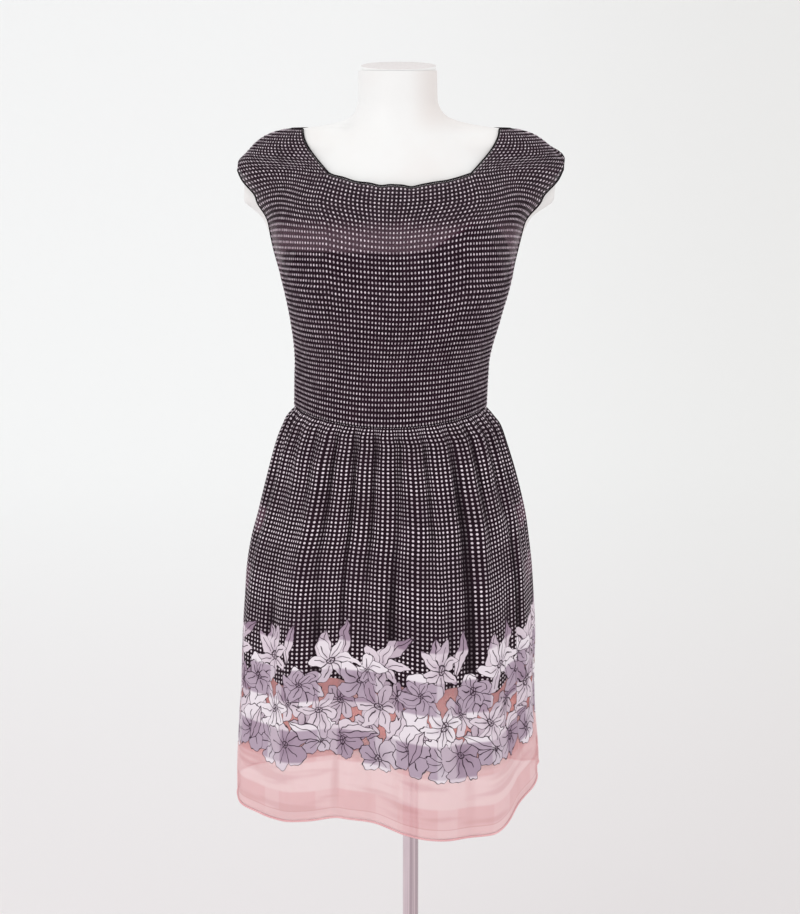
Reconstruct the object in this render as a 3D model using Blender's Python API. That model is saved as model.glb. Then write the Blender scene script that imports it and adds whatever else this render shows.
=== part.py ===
"""Sheer dress with a shirred bodice, cap sleeves and a gathered skirt, on a limbless dress form.

Metres, +Z up. The origin is on the floor, on the pole's axis. The dress faces -Y.
Angles run round the body: 0 at the front, 90 degrees at +X, 180 at the back.
"""
import math
from collections import namedtuple

import bmesh
import bpy
from mathutils import Vector

# Heights of the dress form and of the dress, above the floor
FORM_BOTTOM = 0.800
WAIST = 1.048
UNDERARM = 1.222
SLEEVE_TIP = 1.377
NECK_POINT = 1.4225
NECK_TOP = 1.500
FORM_RING_HEIGHTS = (
    0.800, 0.850, 0.900, 0.955, 1.005, 1.048, 1.085, 1.120, 1.155, 1.190, 1.222, 1.250,
    1.272, 1.290, 1.308, 1.324, 1.340, 1.355, 1.368, 1.379, 1.389, 1.398, 1.406, 1.413,
    1.419, 1.425, 1.432, 1.441, 1.456, 1.478, 1.500,
)
FORM_RING_POINTS = 36

# The form in level sections: half width, depth to the front and back, squareness of the section
Torso = namedtuple("Torso", "height centre half_width front back power")
TORSO = (
    Torso(0.800, -0.031, 0.150, 0.094, 0.106, 2.2),
    Torso(0.860, -0.030, 0.160, 0.099, 0.113, 2.2),
    Torso(0.950, -0.029, 0.150, 0.096, 0.104, 2.2),
    Torso(1.048, -0.028, 0.1200, 0.085, 0.085, 2.2),
    Torso(1.110, -0.0260, 0.1208, 0.089, 0.082, 2.2),
    Torso(1.175, -0.0212, 0.1340, 0.110, 0.087, 2.3),
    Torso(1.222, -0.0195, 0.1460, 0.117, 0.092, 2.5),
    Torso(1.270, -0.0205, 0.1555, 0.111, 0.097, 2.8),
    Torso(1.305, -0.0195, 0.1625, 0.102, 0.099, 2.8),
    Torso(1.337, -0.0160, 0.1650, 0.093, 0.098, 2.6),
    Torso(1.360, -0.0150, 0.155, 0.086, 0.095, 2.4),
    Torso(1.385, -0.0145, 0.130, 0.074, 0.086, 2.2),
    Torso(1.405, -0.0140, 0.105, 0.064, 0.076, 2.1),
    Torso(1.425, -0.0135, 0.075, 0.055, 0.064, 2.0),
    Torso(1.440, -0.0130, 0.058, 0.051, 0.056, 2.0),
    Torso(1.462, -0.0130, 0.0475, 0.048, 0.050, 2.0),
    Torso(1.500, -0.0130, 0.0465, 0.047, 0.048, 2.0),
)

# The shoulders and the short arm ends, cut off flat at END_OF_ARM from the middle
Shoulder = namedtuple("Shoulder", "height half_width half_depth")
SHOULDERS = (
    Shoulder(1.235, 0.110, 0.030),
    Shoulder(1.270, 0.150, 0.044),
    Shoulder(1.305, 0.172, 0.051),
    Shoulder(1.337, 0.214, 0.055),
    Shoulder(1.358, 0.216, 0.055),
    Shoulder(1.378, 0.2105, 0.051),
    Shoulder(1.390, 0.2015, 0.047),
    Shoulder(1.400, 0.1945, 0.043),
    Shoulder(1.410, 0.1835, 0.037),
    Shoulder(1.418, 0.1665, 0.031),
    Shoulder(1.424, 0.1370, 0.026),
    Shoulder(1.430, 0.095, 0.021),
    Shoulder(1.440, 0.058, 0.016),
    Shoulder(1.452, 0.030, 0.010),
)
SHOULDER_POWER = 3.2
SHOULDER_BLEND = 10
END_OF_ARM = 0.209
ARM_EASE = 0.004
ARM_EASE_TOP = 1.405
ARM_EASE_RUN = 0.01

# Cloth: distances off the form, wall by wall
SEAM_GAP = 0.0003
LINING_INSIDE = 0.0030
LINING_THICKNESS = 0.001
BODICE_INSIDE = 0.0050
BODICE_INSIDE_AT_SHOULDER = 0.0011
SETTLE_FROM = 1.36
SETTLE_RUN = 0.04
BODICE_THICKNESS = 0.0014
RIB_HEIGHT = 0.0009
RIB_SHARE_BETWEEN_PUFFS = 0.7
SKIRT_THICKNESS = 0.0013

# Bodice panels: a grid of shirred rows, with two shoulder straps above the neckline's corners
PANEL_COLUMNS = 20
STRAP_COLUMNS = 4
STRAP_SPLIT = 1 - 2 * STRAP_COLUMNS / PANEL_COLUMNS
BODICE_ROWS = 42
INSIDE_ROWS = (0, 4, 8) + tuple(range(10, BODICE_ROWS + 1, 2))
STRAP_ROWS = 9
Neckline = namedtuple("Neckline", "middle corner corner_x point_x wave")
NECK_FRONT = Neckline(1.3515, 1.3665, 0.092, 0.130, 0.0008)
NECK_BACK = Neckline(1.372, 1.380, 0.090, 0.124, 0.0)
NECK_WAVES = 9
NECK_CURVE = 1.7
STRAP_CURVE = 1.5

# The armhole's half opening to the front and back, level by level
Armhole = namedtuple("Armhole", "height front back")
ARMHOLE = (
    Armhole(1.222, 0.000, 0.000),
    Armhole(1.228, 0.016, 0.014),
    Armhole(1.242, 0.029, 0.026),
    Armhole(1.270, 0.039, 0.036),
    Armhole(1.305, 0.044, 0.038),
    Armhole(1.335, 0.045, 0.043),
    Armhole(1.357, 0.036, 0.034),
    Armhole(1.370, 0.020, 0.019),
    Armhole(1.377, 0.000, 0.000),
)

# The lining's top edge, by the angle round the body
Edge = namedtuple("Edge", "degrees height")
LINING_TOP = (
    Edge(-180, 1.232), Edge(-125, 1.232), Edge(-105, 1.218), Edge(-90, 1.208), Edge(-72, 1.232),
    Edge(-52, 1.270), Edge(0, 1.268), Edge(20, 1.270), Edge(38, 1.297), Edge(56, 1.284),
    Edge(72, 1.236), Edge(90, 1.208), Edge(105, 1.218), Edge(125, 1.232), Edge(180, 1.232),
)
LINING_ROWS = 10

# The skirt in level sections
Skirt = namedtuple("Skirt", "height centre half_width front back power")
SKIRT = (
    Skirt(1.034, -0.0280, 0.1380, 0.099, 0.097, 2.2),
    Skirt(1.022, -0.0262, 0.1455, 0.108, 0.104, 2.2),
    Skirt(0.999, -0.0265, 0.1545, 0.119, 0.114, 2.2),
    Skirt(0.955, -0.0260, 0.1690, 0.132, 0.127, 2.1),
    Skirt(0.910, -0.0265, 0.1815, 0.141, 0.137, 2.1),
    Skirt(0.865, -0.0295, 0.1920, 0.148, 0.144, 2.1),
    Skirt(0.819, -0.0310, 0.1985, 0.152, 0.149, 2.1),
    Skirt(0.727, -0.0325, 0.2035, 0.155, 0.153, 2.1),
    Skirt(0.634, -0.0340, 0.2065, 0.158, 0.156, 2.1),
    Skirt(0.540, -0.0330, 0.2125, 0.162, 0.160, 2.1),
    Skirt(0.480, -0.0335, 0.2125, 0.162, 0.160, 2.1),
)
SKIRT_COLUMNS = 56
SKIRT_ROW_SHARES = (0.0, 0.022, 0.055, 0.11, 0.20, 0.33, 0.48, 0.65, 0.83, 1.0)
GATHERS = 28
Gather = namedtuple("Gather", "height depth")
GATHER_DEPTH = (
    Gather(1.048, 0.0004), Gather(1.030, 0.0026), Gather(0.995, 0.0040), Gather(0.930, 0.0034),
    Gather(0.860, 0.0020), Gather(0.780, 0.0010), Gather(0.480, 0.0005),
)

# The large folds: where each crest lies, how wide and deep it is, and the height where it begins
Fold = namedtuple("Fold", "degrees spread depth top")
FOLDS = (
    Fold(-66, 13, 0.010, 0.98), Fold(-36, 11, 0.012, 1.00), Fold(-14, 8, 0.008, 0.96),
    Fold(16, 12, 0.012, 1.00), Fold(44, 10, 0.010, 0.98), Fold(72, 9, 0.007, 0.95),
    Fold(101, 12, 0.009, 0.97), Fold(133, 13, 0.012, 1.00), Fold(160, 10, 0.009, 0.96),
    Fold(-171, 13, 0.011, 0.99), Fold(-143, 12, 0.010, 0.97), Fold(-108, 12, 0.011, 0.98),
)
FOLD_RUN = 0.26
FOLD_MEAN = 0.0045

# The hem's height, by the angle round the body
HEM = (
    Edge(-180, 0.508), Edge(-150, 0.502), Edge(-120, 0.514), Edge(-95, 0.517), Edge(-70, 0.512),
    Edge(-50, 0.507), Edge(-30, 0.514), Edge(-16, 0.524), Edge(-5, 0.518), Edge(7, 0.501),
    Edge(24, 0.490), Edge(40, 0.488), Edge(54, 0.508), Edge(66, 0.527), Edge(90, 0.543),
    Edge(120, 0.520), Edge(150, 0.504), Edge(180, 0.508),
)

# Edgings: narrow rolled edges that run just past the cut edges of the neck and the armholes
ROLL_SIDES = 5
NECK_ROLL_RADIUS = 0.0012
ARMHOLE_ROLL_RADIUS = 0.0011
NECK_ROLL_GAP = 0.0005
ARMHOLE_ROLL_GAP = 0.0008
ARMHOLE_ROLL_FROM = UNDERARM + 0.002
ARMHOLE_ROLL_TO = SLEEVE_TIP - 0.001
NECK_ROLL_END_GAP = 0.0002

# Stand
NECK_CAP_THICKNESS = 0.006
NECK_CAP_RADIUS = 0.0455
NECK_CAP_EDGE = 0.003
NECK_CAP_EDGE_CUT = 0.0008
POLE_RADIUS = 0.011
BASE_RADIUS = 0.150
BASE_THICKNESS = 0.009
BASE_EDGE = 0.004
BASE_EDGE_CUT = 0.001
BASE_COLLAR_RADIUS = 0.021
BASE_COLLAR_HEIGHT = 0.038
COLLAR_LIP = 0.003
COLLAR_LIP_DROP = 0.002
COLLAR_LIP_CUT = 0.0015
COLLAR_FOOT = 0.006
COLLAR_FOOT_CUT = 0.004
FLANGE_RADIUS = 0.032
FLANGE_THICKNESS = 0.005
SOCKET_RADIUS = 0.016
SOCKET_HEIGHT = 0.045
SOCKET_FILLET = 0.006
SOCKET_FILLET_MIDDLE = 0.002
SOCKET_EDGE = 0.001


def clear_scene():
    for item in list(bpy.data.objects):
        bpy.data.objects.remove(item, do_unlink=True)


def material(name, colour, roughness, metallic=0.0):
    made = bpy.data.materials.new(name)
    made.use_nodes = True
    shader = made.node_tree.nodes["Principled BSDF"]
    shader.inputs["Base Color"].default_value = (*colour, 1.0)
    shader.inputs["Roughness"].default_value = roughness
    shader.inputs["Metallic"].default_value = metallic
    return made


def finish_object(name, bm, look, smooth=True):
    bmesh.ops.triangulate(bm, faces=bm.faces[:])
    mesh = bpy.data.meshes.new(name)
    bm.to_mesh(mesh)
    bm.free()
    if smooth:
        mesh.shade_smooth()
        mesh.set_sharp_from_angle(angle=math.radians(40))
    mesh.materials.append(look)
    made = bpy.data.objects.new(name, mesh)
    bpy.context.scene.collection.objects.link(made)
    return made


def read_table(table, key):
    """Values of a table at a key, on a smooth curve through its rows that doesn't overshoot."""
    rows = sorted(table)
    if key <= rows[0][0]:
        return list(rows[0][1:])
    if key >= rows[-1][0]:
        return list(rows[-1][1:])
    at = next(i for i in range(1, len(rows)) if key <= rows[i][0])
    low, high = rows[at - 1], rows[at]
    step = high[0] - low[0]
    share = (key - low[0]) / step
    values = []
    for column in range(1, len(low)):
        slope = (high[column] - low[column]) / step
        ends = []
        for row in (at - 1, at):
            if 0 < row < len(rows) - 1:
                before = rows[row][column] - rows[row - 1][column]
                before /= rows[row][0] - rows[row - 1][0]
                after = rows[row + 1][column] - rows[row][column]
                after /= rows[row + 1][0] - rows[row][0]
                ends.append(2 * before * after / (before + after) if before * after > 0 else 0.0)
            else:
                ends.append(slope)
        square = share ** 2
        cube = share ** 3
        value = (2 * cube - 3 * square + 1) * low[column] + (3 * square - 2 * cube) * high[column]
        value += (cube - 2 * square + share) * step * ends[0] + (cube - square) * step * ends[1]
        values.append(value)
    return values


def oval_radius(angle, half_width, half_depth, power):
    across = abs(math.sin(angle)) / half_width
    along = abs(math.cos(angle)) / half_depth
    return (across ** power + along ** power) ** (-1 / power)


def form_point(angle, height, arm_ease=0.0):
    """A point of the form's surface. Angles crowd towards the shoulder ends of a long section."""
    centre, half_width, front, back, power = read_table(TORSO, height)
    arm_width, arm_depth = read_table(SHOULDERS, height)
    arm_width -= arm_ease
    arm_depth -= arm_ease
    depth = front if math.cos(angle) > 0 else back
    reach = max(half_width, arm_width)
    turned = math.atan2(reach * math.sin(angle), depth * math.cos(angle))
    torso = oval_radius(turned, half_width, depth, power)
    arm = oval_radius(turned, arm_width, arm_depth, SHOULDER_POWER)
    radius = (torso ** SHOULDER_BLEND + arm ** SHOULDER_BLEND) ** (1 / SHOULDER_BLEND)
    side = radius * math.sin(turned)
    if abs(side) > END_OF_ARM - arm_ease:
        radius *= (END_OF_ARM - arm_ease) / abs(side)
    return Vector((centre + radius * math.sin(turned), -radius * math.cos(turned), height))


def outward(surface, angle, height):
    """The unit normal of a surface that runs round the body, by small steps."""
    turn = 0.02
    rise = 0.0015
    round_step = surface(angle + turn, height) - surface(angle - turn, height)
    up_step = surface(angle, height + rise) - surface(angle, height - rise)
    return round_step.cross(up_step).normalized()


def cloth_point(angle, height, distance):
    return form_point(angle, height) + outward(form_point, angle, height) * distance


def angle_where(height, back, reached):
    """The turn from the middle at which reached(point) first holds, on the front or the back."""
    low, high = 0.0, math.pi / 2
    for _ in range(40):
        middle = (low + high) / 2
        point = form_point(math.pi - middle if back else middle, height)
        if reached(point):
            high = middle
        else:
            low = middle
    return (low + high) / 2


def armhole_turn(height, back):
    if height <= UNDERARM or height >= SLEEVE_TIP:
        return math.pi / 2
    opening = read_table(ARMHOLE, height)[1 if back else 0]
    return angle_where(height, back, lambda point: abs(point.y) <= opening)


def neck_turn(height, x, back):
    centre = read_table(TORSO, height)[0]
    return angle_where(height, back, lambda point: point.x - centre >= x)


def column_turn(share, height, back):
    """The turn of a panel's column, from -1 at one side edge to 1 at the other."""
    neck = NECK_BACK if back else NECK_FRONT
    edge = armhole_turn(height, back)
    at_corner = neck_turn(neck.corner, neck.corner_x, back)
    rise = min(1.0, max(0.0, (height - WAIST) / (neck.corner - WAIST)))
    inner = STRAP_SPLIT * edge + (at_corner - STRAP_SPLIT * edge) * rise ** 2
    if abs(share) <= STRAP_SPLIT:
        turn = inner * abs(share) / STRAP_SPLIT
    else:
        turn = inner + (edge - inner) * (abs(share) - STRAP_SPLIT) / (1 - STRAP_SPLIT)
    return math.copysign(turn, share)


def round_body(turn, back):
    return math.pi - turn if back else turn


def neckline_height(share, neck):
    side = min(1.0, abs(share) / STRAP_SPLIT)
    wave = neck.wave * math.cos(NECK_WAVES * math.pi * share / STRAP_SPLIT)
    return neck.middle + (neck.corner - neck.middle) * side ** NECK_CURVE + wave * (1 - side ** 4)


def bodice_place(row, column, back):
    """The angle and height of a point of a bodice panel."""
    neck = NECK_BACK if back else NECK_FRONT
    share = 2 * column / PANEL_COLUMNS - 1
    if row <= BODICE_ROWS:
        top = neckline_height(share, neck)
        height = WAIST + (top - WAIST) * row / BODICE_ROWS
        return round_body(column_turn(share, height, back), back), height
    climb = (row - BODICE_ROWS) / STRAP_ROWS
    height = neck.corner + (NECK_POINT - neck.corner) * (1 - (1 - climb) ** STRAP_CURVE)
    neck_x = neck.corner_x + (neck.point_x - neck.corner_x) * math.sin(climb * math.pi / 2)
    inner = neck_turn(height, neck_x, back)
    outer = armhole_turn(height, back)
    turn = inner + (outer - inner) * (abs(share) - STRAP_SPLIT) / (1 - STRAP_SPLIT)
    return round_body(math.copysign(turn, share), back), height


def bodice_point(row, column, back, outside):
    angle, height = bodice_place(row, column, back)
    settle = min(1.0, max(0.0, (height - SETTLE_FROM) / SETTLE_RUN))
    distance = BODICE_INSIDE + (BODICE_INSIDE_AT_SHOULDER - BODICE_INSIDE) * settle
    if outside:
        distance += BODICE_THICKNESS
        on_edge = row == 0 or row >= BODICE_ROWS or column in (0, PANEL_COLUMNS)
        if row % 2 and not on_edge:
            distance += RIB_HEIGHT * (1.0 if column % 2 else RIB_SHARE_BETWEEN_PUFFS)
    return part_at_seam(cloth_point(angle, height, distance), back)


def part_at_seam(point, back):
    """Keep a front panel before the side plane, and a back panel behind it."""
    if back:
        point.y = max(point.y, SEAM_GAP / 2)
    else:
        point.y = min(point.y, -SEAM_GAP / 2)
    return point


def stitched_wall(cells, inner_cells, outer_at, inner_at, match, flip):
    """A closed wall: an outer sheet, an inner sheet, and faces that join their edges."""
    bm = bmesh.new()
    outer = {}
    inner = {}

    def vertex(store, place, point_at):
        if place not in store:
            store[place] = bm.verts.new(point_at(*place))
        return store[place]

    def face(corners):
        bm.faces.new(corners if not flip else corners[::-1])

    edges = {}
    for loop in cells:
        face([vertex(outer, place, outer_at) for place in loop])
        for start, end in zip(loop, loop[1:] + loop[:1]):
            if (end, start) in edges:
                del edges[(end, start)]
            else:
                edges[(start, end)] = True
    for loop in inner_cells:
        face([vertex(inner, place, inner_at) for place in loop[::-1]])
    for start, end in edges:
        inner_start, inner_end = match(*start), match(*end)
        corners = [outer[end], outer[start], inner[inner_start]]
        if inner_start != inner_end:
            corners.append(inner[inner_end])
        face(corners)
    return bm


def build_bodice(name, back, look):
    rows = BODICE_ROWS + STRAP_ROWS

    def sheet(row_list):
        cells = []
        for low, high in zip(row_list, row_list[1:]):
            for column in range(PANEL_COLUMNS):
                in_strap = column < STRAP_COLUMNS or column >= PANEL_COLUMNS - STRAP_COLUMNS
                if low < BODICE_ROWS or in_strap:
                    cells.append([(low, column), (low, column + 1),
                                  (high, column + 1), (high, column)])
        return cells

    inside_rows = list(INSIDE_ROWS) + list(range(BODICE_ROWS + 1, rows + 1))

    def match(row, column):
        return max(inside for inside in inside_rows if inside <= row), column

    bm = stitched_wall(
        sheet(list(range(rows + 1))), sheet(inside_rows),
        lambda row, column: bodice_point(row, column, back, True),
        lambda row, column: bodice_point(row, column, back, False),
        match, back)
    return finish_object(name, bm, look)


def grid_cells(rows, columns):
    return [[(row, column), (row, column + 1), (row + 1, column + 1), (row + 1, column)]
            for row in range(rows) for column in range(columns)]


def lining_point(row, column, back, outside):
    share = 2 * column / PANEL_COLUMNS - 1
    angle = round_body(column_turn(share, UNDERARM, back), back)
    degrees = math.degrees(math.atan2(math.sin(angle), math.cos(angle)))
    top = read_table(LINING_TOP, degrees)[0]
    height = WAIST + (top - WAIST) * row / LINING_ROWS
    turn = column_turn(share, height, back)
    distance = LINING_INSIDE + (LINING_THICKNESS if outside else 0.0)
    return part_at_seam(cloth_point(round_body(turn, back), height, distance), back)


def build_lining(name, back, look):
    cells = grid_cells(LINING_ROWS, PANEL_COLUMNS)
    bm = stitched_wall(
        cells, cells,
        lambda row, column: lining_point(row, column, back, True),
        lambda row, column: lining_point(row, column, back, False),
        lambda row, column: (row, column), back)
    return finish_object(name, bm, look)


def skirt_surface(angle, height):
    """The skirt's outer face: an oval that widens downwards, waved by gathers and large folds."""
    _, half_width, front, back, power = read_table(TORSO, WAIST)
    cloth = BODICE_INSIDE + BODICE_THICKNESS
    waist_row = Skirt(WAIST, read_table(TORSO, WAIST)[0], half_width + cloth,
                      front + cloth, back + cloth, power)
    centre, half_width, front, back, power = read_table((waist_row,) + SKIRT, height)
    depth = front if math.cos(angle) > 0 else back
    turned = math.atan2(half_width * math.sin(angle), depth * math.cos(angle))
    radius = oval_radius(turned, half_width, depth, power)
    gather_depth = read_table(GATHER_DEPTH, height)[0]
    uneven = 0.9 * math.sin(3 * angle + 0.5) + 0.5 * math.sin(5 * angle + 2.0)
    radius += gather_depth * math.cos(GATHERS * angle + uneven)
    folds = -FOLD_MEAN * min(1.0, max(0.0, (WAIST - height) / FOLD_RUN))
    for fold in FOLDS:
        away = math.remainder(angle - math.radians(fold.degrees), math.tau)
        grown = min(1.0, max(0.0, (fold.top - height) / FOLD_RUN))
        bump = math.exp(-(away / math.radians(fold.spread)) ** 2)
        folds += fold.depth * bump * grown * grown * (3 - 2 * grown)
    radius += folds
    return Vector((centre + radius * math.sin(turned), -radius * math.cos(turned), height))


def skirt_point(row, column, back, outside):
    turn = math.pi * (column / SKIRT_COLUMNS - 0.5)
    angle = round_body(turn, back)
    degrees = math.degrees(math.atan2(math.sin(angle), math.cos(angle)))
    hem = read_table(HEM, degrees)[0]
    top = WAIST - SEAM_GAP
    height = top + (hem - top) * SKIRT_ROW_SHARES[row]
    point = skirt_surface(angle, height)
    if not outside:
        normal = outward(skirt_surface, angle, height)
        normal.z = 0.0
        point = point - normal.normalized() * SKIRT_THICKNESS
    if column in (0, SKIRT_COLUMNS):
        point.y = SEAM_GAP / 2 if back else -SEAM_GAP / 2
    return part_at_seam(point, back)


def build_skirt(name, back, look):
    cells = [loop[::-1] for loop in grid_cells(len(SKIRT_ROW_SHARES) - 1, SKIRT_COLUMNS)]
    bm = stitched_wall(
        cells, cells,
        lambda row, column: skirt_point(row, column, back, True),
        lambda row, column: skirt_point(row, column, back, False),
        lambda row, column: (row, column), back)
    return finish_object(name, bm, look)


def build_roll(name, stations, radius, gap, look, closed=False):
    """A rolled edge: a small tube past a cut edge. A station is an edge point, the way out of the
    cloth along its surface, and the cloth's own outward normal."""
    bm = bmesh.new()
    rings = []
    for point, away, normal in stations:
        centre = point + away * (radius + gap)
        ring = []
        for side in range(ROLL_SIDES):
            turn = math.tau * side / ROLL_SIDES
            ring.append(bm.verts.new(
                centre + (away * math.cos(turn) + normal * math.sin(turn)) * radius))
        rings.append(ring)
    pairs = list(zip(rings, rings[1:]))
    if closed:
        pairs.append((rings[-1], rings[0]))
    else:
        bm.faces.new(rings[0][::-1])
        bm.faces.new(rings[-1])
    for first, second in pairs:
        for side in range(ROLL_SIDES):
            other = (side + 1) % ROLL_SIDES
            bm.faces.new((first[side], first[other], second[other], second[side]))
    bmesh.ops.recalc_face_normals(bm, faces=bm.faces[:])
    return finish_object(name, bm, look)


def neck_stations(places, back):
    """Stations along the neck's edge of a bodice panel, whose way out is towards the throat."""
    throat = form_point(0, NECK_TOP)
    throat.y = 0.0
    middles = []
    normals = []
    for place in places:
        outer = bodice_point(*place, back, True)
        inner = bodice_point(*place, back, False)
        middles.append((outer + inner) / 2)
        normals.append((outer - inner).normalized())
    stations = []
    for at, (middle, normal) in enumerate(zip(middles, normals)):
        before = middles[max(at - 1, 0)]
        after = middles[min(at + 1, len(middles) - 1)]
        along = (after - before).normalized()
        away = along.cross(normal).normalized()
        if away.dot(throat - middle) < 0:
            away = -away
        stations.append((middle, away, normal))
    return stations


def build_neck_roll(name, back, look):
    top = BODICE_ROWS + STRAP_ROWS
    left = STRAP_COLUMNS
    right = PANEL_COLUMNS - STRAP_COLUMNS
    places = [(top, column) for column in range(0, left)]
    places += [(row, left) for row in range(top, BODICE_ROWS, -1)]
    places += [(BODICE_ROWS, column) for column in range(left, right + 1)]
    places += [(row, right) for row in range(BODICE_ROWS + 1, top + 1)]
    places += [(top, column) for column in range(right + 1, PANEL_COLUMNS + 1)]
    stations = [end_at_seam(station, back) for station in neck_stations(places, back)]
    return build_roll(name, stations, NECK_ROLL_RADIUS, NECK_ROLL_GAP, look)


def end_at_seam(station, back):
    """Keep a station on its own side of the side plane, with its ring square to the plane."""
    point, away, normal = station
    limit = SEAM_GAP / 2 + NECK_ROLL_END_GAP
    if abs(point.y) < limit:
        point = Vector((point.x, limit if back else -limit, point.z))
        away = Vector((away.x, 0.0, away.z)).normalized()
        normal = Vector((normal.x, 0.0, normal.z)).normalized()
    return point, away, normal


def build_armhole_roll(name, side_column, look):
    def edge_rows(back):
        found = []
        for row in range(0, BODICE_ROWS + STRAP_ROWS, 2):
            _, height = bodice_place(row, side_column, back)
            if ARMHOLE_ROLL_FROM < height < ARMHOLE_ROLL_TO:
                found.append(row)
        return found

    front_rows = edge_rows(False)
    back_rows = edge_rows(True)
    edge = []
    for back, rows in ((False, front_rows), (True, back_rows[::-1])):
        for row in rows:
            outer = bodice_point(row, side_column, back, True)
            inner = bodice_point(row, side_column, back, False)
            edge.append(((outer + inner) / 2, (outer - inner).normalized()))
    centre = sum((middle for middle, _ in edge), Vector()) / len(edge)
    stations = []
    for at, (middle, normal) in enumerate(edge):
        along = (edge[(at + 1) % len(edge)][0] - edge[at - 1][0]).normalized()
        away = along.cross(normal).normalized()
        if away.dot(centre - middle) < 0:
            away = -away
        stations.append((middle, away, normal))
    return build_roll(name, stations, ARMHOLE_ROLL_RADIUS, ARMHOLE_ROLL_GAP, look, closed=True)


def build_form(look):
    bm = bmesh.new()
    rings = []
    for height in FORM_RING_HEIGHTS:
        ease = ARM_EASE * min(1.0, max(0.0, (ARM_EASE_TOP - height) / ARM_EASE_RUN))
        ring = []
        for step in range(FORM_RING_POINTS):
            angle = math.tau * step / FORM_RING_POINTS
            ring.append(bm.verts.new(form_point(angle, height, ease)))
        rings.append(ring)
    for low, high in zip(rings, rings[1:]):
        for step in range(FORM_RING_POINTS):
            other = (step + 1) % FORM_RING_POINTS
            bm.faces.new((low[step], low[other], high[other], high[step]))
    bm.faces.new(rings[0][::-1])
    bm.faces.new(rings[-1])
    return finish_object("dress_form", bm, look)


def turned_profile(name, centre, profile, look, segments=20):
    """A turned solid from a profile of radius and height, top to bottom along its outside."""
    bm = bmesh.new()
    rings = []
    for radius, height in profile:
        ring = []
        for step in range(segments):
            turn = math.tau * step / segments
            ring.append(bm.verts.new((centre[0] + radius * math.cos(turn),
                                      centre[1] + radius * math.sin(turn), height)))
        rings.append(ring)
    for high, low in zip(rings, rings[1:]):
        for step in range(segments):
            other = (step + 1) % segments
            bm.faces.new((high[step], low[step], low[other], high[other]))
    bm.faces.new(rings[0])
    bm.faces.new(rings[-1][::-1])
    return finish_object(name, bm, look)


def build_neck_cap(look):
    middle = (form_point(math.pi / 2, NECK_TOP) + form_point(-math.pi / 2, NECK_TOP)) / 2
    bottom = NECK_TOP + SEAM_GAP
    top = bottom + NECK_CAP_THICKNESS
    profile = (
        (NECK_CAP_RADIUS - NECK_CAP_EDGE, top),
        (NECK_CAP_RADIUS - NECK_CAP_EDGE_CUT, top - NECK_CAP_EDGE_CUT),
        (NECK_CAP_RADIUS, top - NECK_CAP_EDGE),
        (NECK_CAP_RADIUS, bottom),
    )
    return turned_profile("neck_cap", (middle.x, middle.y), profile, look, segments=28)


def build_stand(chrome):
    turned_profile("base_plate", (0, 0), (
        (BASE_RADIUS - BASE_EDGE, BASE_THICKNESS),
        (BASE_RADIUS - BASE_EDGE_CUT, BASE_THICKNESS - BASE_EDGE_CUT),
        (BASE_RADIUS, BASE_THICKNESS - BASE_EDGE),
        (BASE_RADIUS, 0.0),
    ), chrome, segments=36)
    collar_bottom = BASE_THICKNESS + SEAM_GAP
    collar_top = collar_bottom + BASE_COLLAR_HEIGHT
    pole_bottom = collar_top + SEAM_GAP
    turned_profile("base_collar", (0, 0), (
        (POLE_RADIUS + COLLAR_LIP, collar_top),
        (POLE_RADIUS + COLLAR_LIP + COLLAR_LIP_CUT, collar_top - COLLAR_LIP_DROP),
        (BASE_COLLAR_RADIUS - COLLAR_FOOT_CUT, collar_bottom + 2 * COLLAR_FOOT),
        (BASE_COLLAR_RADIUS, collar_bottom + COLLAR_FOOT),
        (BASE_COLLAR_RADIUS, collar_bottom),
    ), chrome)
    flange_top = FORM_BOTTOM - SEAM_GAP
    flange_bottom = flange_top - FLANGE_THICKNESS
    socket_bottom = flange_bottom - SOCKET_HEIGHT
    turned_profile("form_socket", (0, 0), (
        (FLANGE_RADIUS, flange_top),
        (FLANGE_RADIUS, flange_bottom),
        (SOCKET_RADIUS + SOCKET_FILLET_MIDDLE, flange_bottom - SOCKET_FILLET_MIDDLE),
        (SOCKET_RADIUS, flange_bottom - SOCKET_FILLET),
        (SOCKET_RADIUS, socket_bottom + SOCKET_EDGE),
        (SOCKET_RADIUS - SOCKET_EDGE, socket_bottom),
    ), chrome)
    turned_profile("pole", (0, 0), (
        (POLE_RADIUS, socket_bottom - SEAM_GAP),
        (POLE_RADIUS, pole_bottom),
    ), chrome, segments=24)


def main():
    clear_scene()
    satin_white = material("satin_white", (0.86, 0.85, 0.84), 0.35)
    chrome = material("chrome", (0.62, 0.58, 0.60), 0.12, 1.0)
    dotted = material("dark_dotted_crepe", (0.045, 0.024, 0.036), 0.75)
    bordered = material("bordered_crepe", (0.09, 0.05, 0.07), 0.75)
    lining = material("dark_lining", (0.014, 0.007, 0.011), 0.6)
    black = material("black_edging", (0.010, 0.007, 0.010), 0.7)
    build_form(satin_white)
    build_neck_cap(satin_white)
    build_stand(chrome)
    for back in (False, True):
        side = "back" if back else "front"
        build_bodice("bodice_" + side, back, dotted)
        build_lining("lining_" + side, back, lining)
        build_skirt("skirt_" + side, back, bordered)
        build_neck_roll("neck_edge_" + side, back, black)
    build_armhole_roll("armhole_edge_right", 0, black)
    build_armhole_roll("armhole_edge_left", PANEL_COLUMNS, black)


main()
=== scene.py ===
"""A sheer dotted dress with a shirred bodice and a flowered hem border, on a limbless dress form.

Metres, +Z up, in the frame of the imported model: the floor is at z = 0, the pole stands on the origin, and the dress
faces -Y. Angles run round the body: 0 at the front, 90 degrees at +X, 180 at the back.
"""

import math
from collections import namedtuple
from contextlib import contextmanager

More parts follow.
